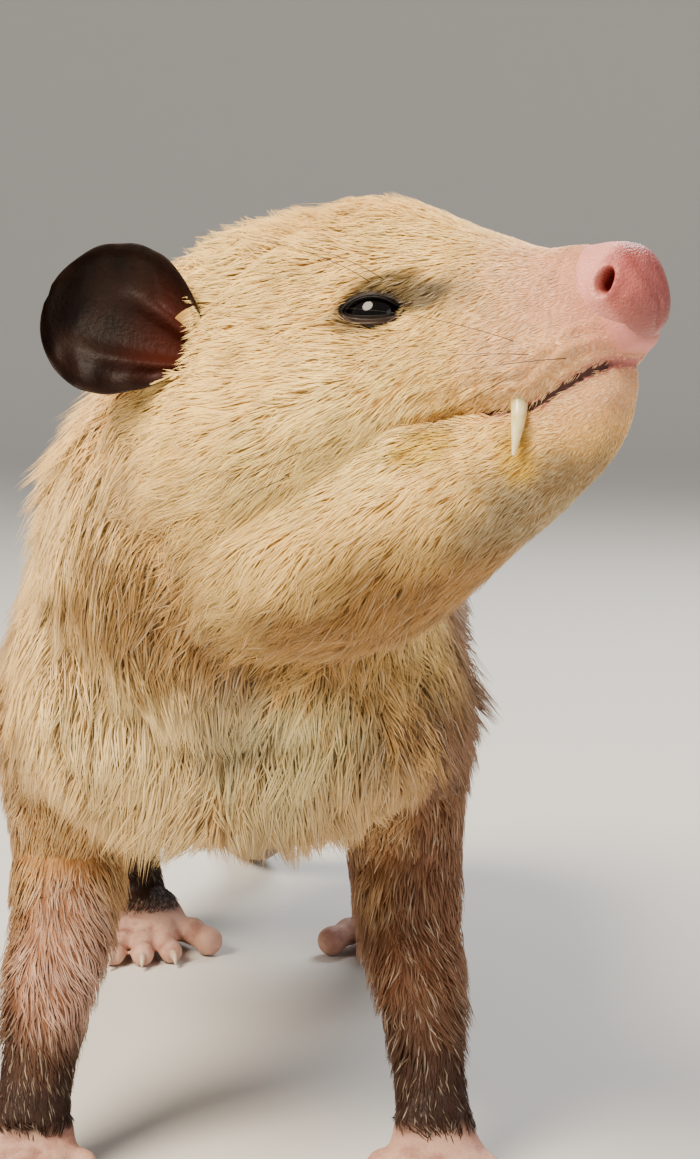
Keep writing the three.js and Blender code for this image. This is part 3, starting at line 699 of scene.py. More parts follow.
# The markings are one group of nodes, shared by the bare skin and every tuft of the coat.
def markings():
    tree = bpy.data.node_groups.new("opossumMarkings", "ShaderNodeTree")
    add = partial(addNode, tree)
    tree.interface.new_socket("Colour", in_out="OUTPUT", socket_type="NodeSocketColor")
    hexes = {name: hexColour(value) for name, value in coatColours.items()}

    def painted(colour, spots, place, fray):
        for middle, radii, name, strength in spots:
            near = spot(add, place, middle, radii, strength, fray)
            colour = add("Mix", {0: near, 6: colour, 7: hexes[name]})
        return colour

    place = ownPlace(add)
    parts = add("SeparateXYZ", {0: place}).outputs
    broad = add("TexNoise", {"Vector": place, **grain(26, 4)})
    swing = add("Math", {0: broad, 1: 0.5}, operation="SUBTRACT")
    fray = add("Math", {0: swing, 1: 0.9}, operation="MULTIPLY")
    yRough = add("Math", {0: swing, 1: 40, 2: parts["Y"]}, operation="MULTIPLY_ADD")
    zRough = add("Math", {0: swing, 1: 24, 2: parts["Z"]}, operation="MULTIPLY_ADD")
    sideways = add("Math", {0: parts["X"]}, operation="ABSOLUTE")
    outer = add("Math", {0: sideways, 1: 0.9, 2: yRough}, operation="MULTIPLY_ADD")

    # Chest with darker partings, running into flank and back
    blotches = add("TexNoise", {"Vector": place, **grain(17, 5, 0.65, 0.6)})
    partings = add("MapRange", {"Value": blotches, **span(0.5, 0.72, 0, 0.5)})
    onFlank = add("MapRange", {"Value": outer, **span(44, 98)})
    high = add("MapRange", {"Value": zRough, **span(148, 182)})
    behind = add("MapRange", {"Value": yRough, **span(20, 70)})
    onBack = add("Math", {0: high, 1: behind}, operation="MULTIPLY")
    colour = hexes["chest"]
    for amount, name in ((partings, "parting"), (onFlank, "flank"), (onBack, "back")):
        colour = add("Mix", {0: amount, 6: colour, 7: hexes[name]})

    # Spots on the body, drawn out into streaks along the hair
    drawnOut = add("VectorMath", {0: place, 1: (1.0, 1.0, 0.22)}, operation="MULTIPLY")
    streaks = add("TexNoise", {"Vector": drawnOut, **grain(5, 4, 0.7)})
    streakSwing = add("Math", {0: streaks, 1: 0.5}, operation="SUBTRACT")
    streakFray = add("Math", {0: streakSwing, 1: 2.2, 2: fray}, operation="MULTIPLY_ADD")
    colour = painted(colour, bodySpots, place, streakFray)

    # Legs darken downwards, sooner on the left than on the right
    rightward = add("MapRange", {"Value": parts["X"], **span(15, -25, 0, 26)})
    zLeg = add("Math", {0: zRough, 1: rightward}, operation="ADD")
    onLeg = add("MapRange", {"Value": zLeg, **span(122, 66)})
    onWrist = add("MapRange", {"Value": zRough, **span(50, 20)})
    for amount, name in ((onLeg, "leg"), (onWrist, "wrist")):
        colour = add("Mix", {0: amount, 6: colour, 7: hexes[name]})
    colour = painted(colour, legSpots, place, fray)

    # The face, in the head's own frame
    centred = add("VectorMath", {0: place, 1: tuple(headTip)}, operation="SUBTRACT")
    turn = tuple(turnHead.inverted().to_euler("XYZ"))
    face = add("VectorRotate", {"Vector": centred, "Rotation": turn}, rotation_type="EULER_XYZ")
    faceParts = add("SeparateXYZ", {0: face}).outputs
    faceBack = add("Math", {0: swing, 1: 16, 2: faceParts["Y"]}, operation="MULTIPLY_ADD")
    ahead = add("MapRange", {"Value": faceBack, **span(122, 96)})
    above = add("MapRange", {"Value": faceParts["Z"], **span(-75, -50)})
    onFace = add("Math", {0: ahead, 1: above}, operation="MULTIPLY")
    colour = add("Mix", {0: onFace, 6: colour, 7: hexes["face"]})
    colour = painted(colour, faceSpots, face, fray)

    onTail = add("MapRange", {"Value": parts["Y"], **span(258, 272)})
    colour = add("Mix", {0: onTail, 6: colour, 7: hexes["tailRoot"]})
    fine = add("TexNoise", {"Vector": place, **grain(6)})
    speckle = add("MapRange", {"Value": fine, **span(0.3, 0.7, 0.9, 1.08)})
    shade = add("CombineColor", {0: speckle, 1: speckle, 2: speckle})
    colour = add("Mix", {0: 1.0, 6: colour, 7: shade}, blend_type="MULTIPLY")
    out = tree.nodes.new("NodeGroupOutput")
    tree.links.new(colour.outputs[2], out.inputs[0])
    return tree


say("materials")
markingGroup = markings()


# Living skin under the coat: soft, a little oily, pink where it is bare, finely creased.
def skinMaterial():
    under = {"Subsurface_Weight": 0.12, "Subsurface_Scale": 0.003, "Subsurface_Radius": (1.0, 0.35, 0.2)}
    material, add, principled = newMaterial("furredSkin", Roughness=0.55, IOR=1.4, **under)
    place = ownPlace(add)
    parts = add("SeparateXYZ", {0: place}).outputs
    marks = add("Group", node_tree=markingGroup)
    colour = add("Mix", {0: 1.0, 6: marks, 7: hexColour("DDC6AC")}, blend_type="MULTIPLY")

    # Bare skin: pink face, browner toes, scaly tail that is dark at its root
    blotch = add("TexNoise", {"Vector": place, **grain(7, 4)})
    flush = add("MapRange", {"Value": blotch, **span(0.35, 0.7)})
    worn = add("MapRange", {"Value": blotch, **span(0.4, 0.65)})
    names = ("skinPink", "toe", "tail", "tailRoot")
    pink, toe, tail, root = (hexColour(coatColours[name]) for name in names)
    bareTone = add("Mix", {0: flush, 6: pink, 7: hexColour("D99C8B")})
    toeTone = add("Mix", {0: worn, 6: toe, 7: hexColour("A87868")})
    scales = add("TexVoronoi", {"Vector": place, "Scale": 1 / 1.5}, feature="F1")
    scaleEdge = add("MapRange", {"Value": scales, **span(0.15, 0.75)})
    scaleTone = add("Mix", {0: scaleEdge, 6: tail, 7: hexColour("8E7768")})
    darkRoot = add("MapRange", {"Value": parts["Y"], **span(348, 288, 0, 0.93)})
    tailTone = add("Mix", {0: darkRoot, 6: scaleTone, 7: root})
    onNose = add("MapRange", {"Value": parts["Z"], **span(100, 120)})
    onFoot = add("MapRange", {"Value": parts["Z"], **span(40, 30)})
    onTail = add("MapRange", {"Value": parts["Y"], **span(262, 268)})
    for amount, tone in ((onNose, hexColour("CB7F74")), (onFoot, toeTone), (onTail, tailTone)):
        bareTone = add("Mix", {0: amount, 6: bareTone, 7: tone})
    bare, lip, lidRing = (
        add("Attribute", attribute_name=name).outputs["Fac"] for name in ("bare", "lip", "lidRing")
    )
    lipRim = add("MapRange", {"Value": lip, **span(0, 0.5)})
    # The middle of the lips' gap is painted shade inside the mouth, over the mouth's own dark red
    mouthGapShade = add("MapRange", {"Value": lip, **span(0.6, 0.95)})
    layers = (
        (bare, bareTone),
        (lipRim, hexColour("B0685D")),
        (mouthGapShade, hexColour("3C1613")),
        (lidRing, hexColour("1E1410")),
    )
    for amount, tone in layers:
        colour = add("Mix", {0: amount, 6: colour, 7: tone})

    # Fine creases and pores everywhere, raised scales on the tail
    crease = add("TexNoise", {"Vector": place, **grain(1.1, 4, 0.6, 0.4)})
    pores = add("TexVoronoi", {"Vector": place, "Scale": 1 / 0.7}, feature="F1")
    scaleHeight = add("Math", {0: scales, 1: onTail}, operation="MULTIPLY")
    height = add("Math", {0: crease, 1: 0.7}, operation="MULTIPLY")
    for layer, amount in ((pores, 0.3), (scaleHeight, -1.2)):
        height = add("Math", {0: layer, 1: amount, 2: height}, operation="MULTIPLY_ADD")
    bump = add("Bump", {"Height": height, "Strength": 0.55, "Distance": 0.0006})
    dress(principled, colour, bump)
    return material


# Hair: horn-like, silky, darker at the root and pale at the tip.
def coatMaterial(name, root, tip, rough):
    gloss = {"Sheen_Weight": 0.04, "Specular_IOR_Level": 0.2}
    material, add, principled = newMaterial(name, Roughness=rough, IOR=1.5, **gloss)
    along, shade, pale = (
        add("Attribute", attribute_name=name).outputs["Fac"] for name in ("along", "shade", "pale")
    )
    marks = add("Group", node_tree=markingGroup)
    dark = add("Mix", {0: 1.0, 6: marks, 7: hexColour(root)}, blend_type="MULTIPLY")
    bright = add("Mix", {0: 1.0, 6: marks, 7: (1 + tip, 1 + tip, 1 + tip, 1.0)}, blend_type="MULTIPLY")
    paleHair = add("Mix", {0: 0.45, 6: marks, 7: hexColour("F6E8CC")})
    light = add("Mix", {0: pale, 6: bright, 7: paleHair})
    upwards = add("MapRange", {"Value": along, **span(0.05, 0.75)})
    colour = add("Mix", {0: upwards, 6: dark, 7: light})
    tone = add("MapRange", {"Value": shade, **span(0.1, 0.9, 0.8, 1.14)})
    tones = add("CombineColor", {0: tone, 1: tone, 2: tone})
    colour = add("Mix", {0: 1.0, 6: colour, 7: tones}, blend_type="MULTIPLY")
    dress(principled, colour)
    return material


def setAttribute(piece, name, values):
    attribute = piece.data.attributes.new(name, "FLOAT", "POINT")
    attribute.data.foreach_set("value", np.asarray(values, np.float32))


# Where the skin is bare: nose end, toes, soles and the tail.
def bareness(points):
    y, z = toHead(points).T[1:]
    nose = smooth(9, 6, y) * smooth(-16, -10, z)
    toes = smooth(16, 11, points[:, 2]) * smooth(40, 0, np.abs(points[:, 2]))
    feet = toes * (points[:, 1] < 250)
    tail = smooth(268, 278, points[:, 1])
    return np.clip(nose * (y < 40) + feet + tail, 0, 1)


# Where the lips are bare, along the mouth line.
def lipTone(points):
    x, y, z = toHead(points).T
    away = np.abs(z - mouthLevel(y)) - 0.5 * lipGap(y)
    ends = smooth(mouthSet["corner"] + 4, mouthSet["corner"] - 2, y) * smooth(7, 12, y)
    return smooth(0.7, -0.2, away) * ends * (np.abs(x) < 24)


# Dark skin: the rings round the eyes and the skin inside the ears' cups.
def lidTone(points):
    tone = np.zeros(len(points))
    for sign in sideNames:
        part, turn, before = besideEar(toHead(points), sign)
        cup = smooth(-0.12, 0.0, part) * smooth(0.9, 0.7, part) * smooth(1.2, 0.95, np.abs(turn))
        tone = np.maximum(tone, cup * smooth(-3.2, -1.6, before))
        a, b, out = toEye(points, sign).T
        tone = np.maximum(tone, smooth(1.25, 0.9, np.hypot(a / 7.4, b / 3.8)) * (out > 0))
    return tone


say("skin finish")
points = readPoints(skin)
setAttribute(skin, "bare", bareness(points))
setAttribute(skin, "lip", lipTone(points))
setAttribute(skin, "lidRing", lidTone(points))
skin.data.materials.clear()
skin.data.materials.append(skinMaterial())
only(skin)
skin.data.uv_layers.new(name="OFBake")
bpy.ops.object.mode_set(mode="EDIT")
bpy.ops.mesh.select_all(action="SELECT")
bpy.ops.uv.smart_project(angle_limit=math.radians(66), island_margin=0.002)
bpy.ops.object.mode_set(mode="OBJECT")


# Coat: where it grows, how long, how wide and how flat it lies

# Hair of each part: length, width, tufts per square millimetre, lift in degrees (a foot has its leg's).
coatSet = {
    "trunk": (27, 0.72, 0.165, 32),
    "front": (21, 0.38, 1.035, 32),
    "leg": (9.5, 0.36, 0.82, 14),
    "foot": (3.4, 0.26, 1.4),
    "tail": (5, 0.36, 0.9, 14),
}


# Hair of the face, which lengthens from the nose back, stands on the crown and hangs under the chin.
def faceHair(hy, hz):
    crown = smooth(16, 34, hz) * smooth(40, 60, hy)
    under = smooth(-22, -40, hz) * smooth(50, 80, hy)
    length = 0.7 + 0.9 * smooth(8, 18, hy) + 1.7 * smooth(18, 34, hy) + 4.2 * smooth(34, 62, hy)
    length = length + 6.5 * smooth(66, 112, hy) + 4.0 * crown + 5 * under
    wide = 0.12 + 0.09 * smooth(16, 60, hy) + 0.05 * smooth(70, 110, hy)
    dense = 4.7 - 1.75 * smooth(30, 62, hy) - 0.4 * smooth(80, 110, hy)
    lift = 18 + 12 * smooth(30, 90, hy) + 26 * crown + 14 * under
    return np.stack([length, wide, dense, lift], 1)


# Runs one coat, or a way of lying, into another by a share.
def into(first, second, share):
    return np.asarray(first) * (1 - share[:, None]) + np.asarray(second) * share[:, None]


def coatAt(points):
    face = toHead(points)
    hy, hz = face.T[1:]
    x, y, z = points.T
    onHead = smooth(126, 104, hy) * smooth(-84, -64, hz)
    body = onHead < 0.5
    front = smooth(70, 10, y) * (1 - onHead)
    tail = smooth(246, 268, y)
    shoulder = smooth(24, 40, np.abs(x)) * smooth(130, 80, z) * smooth(86, 56, y)
    leg = np.maximum(smooth(96, 56, z), shoulder) * body * (1 - tail)
    hem = smooth(122, 88, z) * body
    hair = into(into(coatSet["trunk"], coatSet["front"], front), faceHair(hy, hz), onHead)
    hair = into(hair * (1 + hem[:, None] * [-0.25, 0, 0.5, -0.25]), coatSet["leg"], leg)
    hair[:, :3] = into(hair[:, :3], coatSet["foot"], smooth(44, 18, z) * body)
    length, wide, dense, lift = into(hair, coatSet["tail"], tail).T
    mouth = (np.abs(hz - mouthLevel(hy)) < 0.5 * lipGap(hy) - 0.1) & (hy < 49)
    bald = np.maximum(bareness(points), smooth(272, 277, y))
    bald = np.maximum(bald, (mouth | (hy < 7.5)) & (onHead > 0.5))
    bald = np.maximum(bald, (z < 3.2) & body)
    for sign in sideNames:
        a, b, out = toEye(points, sign).T
        ring = np.hypot(a / 5.9, (b - 0.3) / 2.6)
        near = (out > 0) & (onHead > 0.5)
        bald = np.maximum(bald, near & (ring < 1))
        length = np.where(near, length * (0.34 + 0.66 * smooth(1.0, 2.6, ring)), length)
        away = np.linalg.norm(face - mirrored(earSet["root"], sign), axis=1)
        bald = np.maximum(bald, away < 3)
        length = length * (0.4 + 0.6 * smooth(8, 29, away))
        part, turn, before = besideEar(face, sign)
        sheltered = before > -2.6 - 5 * smooth(0, 0.2, part)
        bald = np.maximum(bald, (part > -0.03) & (part < 0.9) & (np.abs(turn) < 1.25) & sheltered)
    return length, wide, dense * (1 - smooth(0.3, 0.6, bald)), lift


# Which way the hair lies: back over the head, down the sides and legs, forward on the toes.
def lieAt(points):
    hx, hy, hz = toHead(points).T
    x, y, z = points.T
    side = np.sign(hx)
    spread = smooth(30, 80, hy) * smooth(4, 30, np.abs(hx))
    fall = smooth(30, 75, hy) * smooth(20, -30, hz)
    head = np.stack([side * 0.35 * spread, np.ones_like(hy), -0.75 * fall - 0.05], 1) @ headTurn.T
    body = np.stack([0.12 * np.sign(x), smooth(-20, 60, y), -1 + 0.7 * smooth(10, 80, y)], 1)
    under = smooth(122, 88, z)
    chest = np.stack([0.12 * np.sign(x), 0.15 + 0.95 * under, -1 + 0.4 * under], 1)
    body = into(body, chest, smooth(40, -5, y))
    body = into(body, (0, 0.15, -1), smooth(96, 66, z))
    toes = np.sign(x)[:, None] * [0.1, 0, 0] + [0, -1, -0.5]
    body = np.where(((z < 17) & (y < 232))[:, None], toes, body)
    body = into(body, (0, 0.55, -1), smooth(246, 262, y))
    lie = into(unit(body), unit(head), smooth(135, 100, hy) * smooth(-90, -60, hz))
    for k, (size, strength) in enumerate(((31, 0.16), (13, 0.12), (5.5, 0.08))):
        phase = points / size + k * 2.1
        swirl = np.sin(phase[:, [1, 2, 0]] * [1, 1.3, 0.8] + np.sin(phase[:, [2, 0, 1]] * 1.7))
        lie = lie + strength * swirl
    return lie


# Places on the skin, spread evenly where the coat is equally thick.
def rootsOn(skin):
    mesh = skin.data
    mesh.calc_loop_triangles()
    corners, loops = (readValues(mesh.loop_triangles, name, 3, np.int32) for name in ("vertices", "loops"))
    points = readPoints(skin)
    normals = readValues(mesh.vertices, "normal", 3)
    uv = readValues(mesh.uv_layers["OFBake"].data, "uv", 2)
    a, b, c = (points[corners[:, k]] for k in range(3))
    facing = np.cross(b - a, c - a)
    area = np.linalg.norm(facing, axis=1) / 2
    facing = unit(facing)
    dense = coatAt((a + b + c) / 3)[2]
    wanted = rng.poisson(area * dense)
    chosen = np.repeat(np.arange(len(wanted)), wanted)
    first, second = np.sqrt(rng.random(len(chosen))), rng.random(len(chosen))
    share = np.stack([1 - first, first * (1 - second), first * second], 1)[..., None]
    place = (points[corners[chosen]] * share).sum(1)
    normal = unit(unit((normals[corners[chosen]] * share).sum(1)) + 0.8 * facing[chosen])
    uvPlace = (uv[loops[chosen]] * share).sum(1)
    return place, normal, uvPlace


def nearest(places, others):
    tree = KDTree(len(others))
    for i, other in enumerate(others):
        tree.insert(other, i)
    tree.balance()
    return np.array([tree.find(place)[1] for place in places])


# How tufts differ: degrees to a side, shares of length and of lift, how many are pale, and the
# side of a tuft's patch on the baked picture.
tuftSet = {"yaw": 13, "lengths": (0.66, 1.2), "lifts": (0.6, 1.45), "pale": 0.16, "patch": 0.003}


# The middle line of every tuft, at the given parts of its length.
def tuftPaths(place, normal, parts):
    length, wide, _, lift = coatAt(place)
    count = len(place)
    lie = lieAt(place)
    lie = unit(lie - normal * (lie * normal).sum(1, keepdims=True))
    side = np.cross(normal, lie)
    yaw = np.radians(rng.normal(0, tuftSet["yaw"], count))[:, None]
    lie = unit(lie * np.cos(yaw) + side * np.sin(yaw))
    length = length * rng.uniform(*tuftSet["lengths"], count)
    angle = np.radians(lift * rng.uniform(*tuftSet["lifts"], count))[:, None, None]
    t = np.asarray(parts)[None, :, None]
    reach = length[:, None, None]
    lieward = np.cos(angle) * t + 0.12 * t**2
    outward = np.sin(angle) * (t - 0.42 * t**2)
    path = place[:, None] + reach * (lie[:, None] * lieward + normal[:, None] * outward)
    middles = rng.choice(count, count // 12, replace=False)
    bigMiddles = rng.choice(middles, max(len(middles) // 14, 1), replace=False)
    near = middles[nearest(place, place[middles])]
    far = bigMiddles[nearest(place, place[bigMiddles])]
    start = path.copy()
    long = smooth(3, 16, length)[:, None, None]
    t = np.clip(t, 0, 1)
    path = path + (0.3 + 0.24 * long) * t**1.6 * (start[near] - start)
    ragged = 0.3 * smooth(34, 56, lift)[:, None, None]
    path = path + (0.08 + 0.18 * long + ragged) * t**2 * (start[far] - start)
    shade = rng.random(count)
    shade = 0.35 * shade[near] + 0.3 * shade[far] + 0.35 * shade
    return path, wide, shade


# Solid tufts with three sides: rings from the sunk root up, then one point at the tip.
def tuftMesh(name, path, normal, wide, shade, uvPlace, material):
    count, rings = path.shape[0], path.shape[1] - 1
    ahead = unit(np.gradient(path, axis=1))
    side = unit(np.cross(ahead, normal[:, None]))
    third = np.cross(side, ahead)
    taper = np.interp(np.arange(rings) / rings, [0, 0.5, 1], [1, 0.9, 0.35])
    turn = np.radians([90, 210, 330])
    across = 0.58 * side[:, :rings, None] * np.cos(turn)[:, None]
    across = across + 0.3 * third[:, :rings, None] * np.sin(turn)[:, None]
    ringPoints = path[:, :rings, None] + taper[None, :, None, None] * wide[:, None, None, None] * across
    points = np.concatenate([ringPoints.reshape(count, -1, 3), path[:, -1:]], 1)
    each = rings * 3 + 1
    sides = [(b, a, d, c) for a, b, c, d in ringFaces(rings, 3)]
    last = each - 4
    tips = [(last + (k + 1) % 3, last + k, each - 1) for k in range(3)] + [(0, 1, 2)]
    starts = (np.arange(count) * each)[:, None, None]
    quads = (np.array(sides)[None] + starts).reshape(-1, 4)
    triangles = (np.array(tips)[None] + starts).reshape(-1, 3)
    mesh = bpy.data.meshes.new(name)
    mesh.vertices.add(count * each)
    mesh.vertices.foreach_set("co", inFrame(points.reshape(-1, 3)).ravel().astype(np.float32))
    loops = np.concatenate([quads.ravel(), triangles.ravel()]).astype(np.int32)
    mesh.loops.add(len(loops))
    mesh.loops.foreach_set("vertex_index", loops)
    faceStarts = np.concatenate(
        [np.arange(len(quads)) * 4, len(quads) * 4 + np.arange(len(triangles)) * 3]
    ).astype(np.int32)
    mesh.polygons.add(len(faceStarts))
    mesh.polygons.foreach_set("loop_start", faceStarts)
    mesh.update(calc_edges=True)
    along = np.concatenate([np.repeat(np.arange(rings) / rings, 3), [1.0]])
    patch = np.stack([np.concatenate([np.tile([0, 0.5, 1], rings), [0.5]]), along], 1) * tuftSet["patch"]
    uv = (uvPlace[:, None] + patch[None]).reshape(-1, 2)
    layer = mesh.uv_layers.new(name="OFBake")
    layer.data.foreach_set("uv", uv[loops].ravel().astype(np.float32))
    piece = linked(name, mesh)
    setAttribute(piece, "along", np.tile(along, count))
    setAttribute(piece, "shade", np.repeat(shade, each))
    pale = (rng.random(count) < tuftSet["pale"]) * rng.uniform(0.2, 0.8, count)
    setAttribute(piece, "pale", np.repeat(pale, each))
    own = readValues(mesh.vertices, "normal", 3)
    soft = unit(own * 0.55 + np.repeat(normal, each, 0))
    mesh.normals_split_custom_set_from_vertices(soft.tolist())
    mesh.materials.append(material)
    return piece


say("coat")
place, normal, uvPlace = rootsOn(skin)
print("tufts", len(place))
coat = coatMaterial("softBodyCoat", "B08E6C", 0.12, 0.65)
faceCoat = coatMaterial("paleFaceCoat", "D9BC92", 0.1, 0.65)
# Borders of the pieces: muzzle, brow, nape and throat in the head's frame, the others on the body.
borders = {"muzzle": 36, "brow": 72, "nape": 118, "throat": -70}
borders.update({"chest": 62, "belly": 70, "leg": 74, "rump": 262})
headX, headY, headZ = toHead(place).T
bodyX, bodyY, bodyZ = place.T
onHead = (headY < borders["nape"]) & (headZ > borders["throat"])
muzzle = onHead & (headY < borders["muzzle"])
face = onHead & ~muzzle
upper = headY + headZ * 0.4 < borders["brow"]
chest = ~onHead & (bodyY < borders["chest"]) & (bodyZ > borders["belly"])
leg = ~onHead & ~chest & ((bodyZ < borders["leg"]) | (bodyY > borders["rump"]))
trunk = ~onHead & ~chest & ~leg
regions = {"muzzleFur": (muzzle, 3, faceCoat)}
for part, chosen, right, stations, material in (
    ("face", face & upper, headX < 0, 3, faceCoat),
    ("cheek", face & ~upper, headX < 0, 3, faceCoat),
    ("chest", chest, bodyX < 0, 3, coat),
    ("trunk", trunk, bodyX < 0, 4, coat),
    ("leg", leg, bodyX < 0, 3, coat),
):
    regions[part + "FurRight"] = (chosen & right, stations, material)
    regions[part + "FurLeft"] = (chosen & ~right, stations, material)
coatPieces = {}
stationParts = np.array([-0.04, 0.32, 0.5, 0.68, 1])
stationPicks = {3: [0, 2, 4], 4: [0, 1, 3, 4]}
path, wide, shade = tuftPaths(place, normal, stationParts)
for name, (chosen, stations, material) in regions.items():
    own = path[chosen][:, stationPicks[stations]]
    rest = (values[chosen] for values in (normal, wide, shade, uvPlace))
    coatPieces[name] = tuftMesh(name, own, *rest, material)
    print(name, chosen.sum(), "tufts", chosen.sum() * (6 * stations - 8), "triangles")


# Bare parts: eyes and lids, nose, ears, teeth, claws and whiskers

# A finish of two tones that noise mixes.
def mottled(name, first, second, size, detail=3.0, **shader):
    material, add, principled = newMaterial(name, **shader)
    noise = add("TexNoise", {"Vector": ownPlace(add), **grain(size, detail)})
    amount = add("MapRange", {"Value": noise, **span(0.3, 0.7)})
    tone = add("Mix", {0: amount, 6: hexColour(first), 7: hexColour(second)})
    dress(principled, tone)
    return material, add, principled, tone


say("eyes")
# Wet eye: almost black brown under a clear layer of tears.
eyeMaterial = newMaterial("wetDarkEye", Roughness=0.07, IOR=1.34, Base_Color=hexColour("060403"))[0]
# Lid rim: thin, dark, a little damp, browner away from the rim.
lidMaterial, add, principled = newMaterial("darkLidSkin", Roughness=0.5, IOR=1.4)
edge = add("Attribute", attribute_name="edge").outputs["Fac"]
outwardRim = add("MapRange", {"Value": edge, **span(0.1, 1)})
lidColour = add("Mix", {0: outwardRim, 6: hexColour("0E0A09"), 7: hexColour("33231B")})
lidGrain = add("TexNoise", {"Vector": ownPlace(add), **grain(0.8, 4)})
lidBump = add("Bump", {"Height": lidGrain, "Strength": 0.6, "Distance": 0.0003})
dress(principled, lidColour, lidBump)

surface = BVHTree.FromObject(skin, bpy.context.evaluated_depsgraph_get())


# How far out of the head the skin is at places beside an eye.
def skinOut(places, sign):
    found = []
    for a, b in places:
        start, end = (Vector(inFrame(fromEye([[a, b, out]], sign))[0]) for out in (25, 0))
        hit = surface.ray_cast(start, (end - start).normalized())[0]
        found.append(toEye(fromFrame([hit]), sign)[0, 2] if hit else 5.0)
    return np.array(found)


lidSet = {"slit": (5.6, 2.1), "outer": (7.2, 3.8), "rows": 18, "around": 80, "cover": 0.4}


def lid(sign):
    turn = np.arange(lidSet["around"]) * 2 * np.pi / lidSet["around"]
    c, s = np.cos(turn), np.sin(turn)
    upper = s > 0
    tall = np.where(upper, lidSet["slit"][1] * 0.9, lidSet["slit"][1])
    inner = np.stack([lidSet["slit"][0] * c, tall * s * np.abs(s) ** 0.35], 1)
    outer = np.stack([lidSet["outer"][0] * c, lidSet["outer"][1] * s], 1)
    border = skinOut(outer, sign)
    rings, edges = [], []
    for row in range(-2, lidSet["rows"]):
        v = max(row, 0) / (lidSet["rows"] - 1)
        flat = inner * (1 - v) + outer * v
        away = (flat**2).sum(1)
        dome = np.sqrt(np.maximum((eyeSet["ball"] + lidSet["cover"]) ** 2 - away, 4)) - eyeSet["sunk"]
        weight = smooth(0.05, 0.8, v)
        out = (dome + 0.4) * (1 - weight) + (border + 0.35) * weight
        out = np.maximum(out, dome)
        fold = 0.45 * np.cos(2 * np.pi * 2.4 * v) * (1 - v) * np.where(upper, 1, 0.7)
        out = out + fold * smooth(0, 0.1, v) - 1.3 * smooth(0.8, 1, v)
        if row < 0:
            out = dome - 0.15 + row * 0.6
            flat = flat * (1.0 - 0.01 * row)
        rings.append(fromEye(np.column_stack([flat, out]), sign))
        edges.append(np.clip(v * np.where(upper, 0.9, 2), 0, 1))
    faces = ringFaces(len(rings), lidSet["around"])
    piece = newPiece("eyelids" + sideNames[sign], np.concatenate(rings), faces)
    setAttribute(piece, "edge", np.concatenate(edges))
    return finished(piece, lidMaterial)


def eyeball(sign):
    middle, out = eyeFrame(sign)[:2]
    bpy.ops.mesh.primitive_uv_sphere_add(segments=64, ring_count=40, radius=eyeSet["ball"] * mm)
    piece = bpy.context.object
    piece.name = "eye" + sideNames[sign]
    places = readPoints(piece) + shift
    writePoints(piece, places + fromHead([middle - out * eyeSet["sunk"]])[0])
    bpy.ops.object.shade_smooth()
    piece.data.materials.append(eyeMaterial)
    return piece


eyes = bothSides(eyeball)
lids = bothSides(lid)

say("nose")
noseSet = {
    "nostril": (8.2, 5.2, 2.2),
    "depth": 5.5,
    "pink": "AC5A54",
    "flush": "8E443F",
    "rear": "DA9082",
    # low is painted shade on the underside of the nose
    "low": "84504A",
    "deep": "7C1D18",
}


def noseShape(points):
    x, y, z = np.moveaxis(points, -1, 0)
    groove = np.exp(-((x / 0.8) ** 2)) * smooth(3.5, -1.0, y) * smooth(6.5, 2.5, z)
    y = y + 0.9 * groove
    for sign in sideNames:
        away = np.stack([x, y, z], -1) - mirrored(noseSet["nostril"], sign)
        slant = away[..., 2] + 0.45 * away[..., 1]
        near = np.sqrt((away[..., 1] / 1.15) ** 2 + (slant / 1.2) ** 2 + (away[..., 0] / 3) ** 2)
        rim = np.exp(-((near - 2.5) ** 2) / 0.9) * (np.sign(x) == sign)
        x = x + sign * 0.7 * rim
        pit = smooth(1.9, 1.25, near) * (np.sign(x) == sign)
        x = x - sign * noseSet["depth"] * pit
        y = y + 0.5 * pit
    return np.stack([x, y, z], -1)


noseRows = [
    [-0.4, 3.4, 5.2, -4.0, 0.4], [0.2, 5.2, 6.9, -5.6, 0.5], [1.2, 6.8, 8.4, -7.2, 0.6],
    [3, 8.0, 9.6, -8.6, 0.6], [6, 8.8, 10.7, -9.8, 0.4], [9, 9.4, 11.3, -10.2, 0.2],
    [11, 9.5, 11.5, -10.4, 0], [13, 8.6, 10.4, -9.8, 0],
]
nose = bodyForm("noseLeather", noseRows, 2.15, rings=110, around=170, shape=noseShape)
nosePoints = readPoints(nose)
writePoints(nose, fromHead(nosePoints))
away = nosePoints - noseSet["nostril"]
far = np.hypot(away[:, 1], away[:, 2])
setAttribute(nose, "deep", smooth(7.6, 5.6, np.abs(nosePoints[:, 0])) * (far < 2.4))
rounding = np.maximum(np.abs(nosePoints[:, 2]) - 3.5, 0)
setAttribute(nose, "rear", smooth(3.5, 9.5, nosePoints[:, 1] + 0.5 * rounding))
# Painted shade: the nose leather darker towards its bottom
setAttribute(nose, "low", 0.6 * smooth(2, -7, nosePoints[:, 2]))
outwards(nose)
applied(nose, "SMOOTH", factor=0.5, iterations=2)
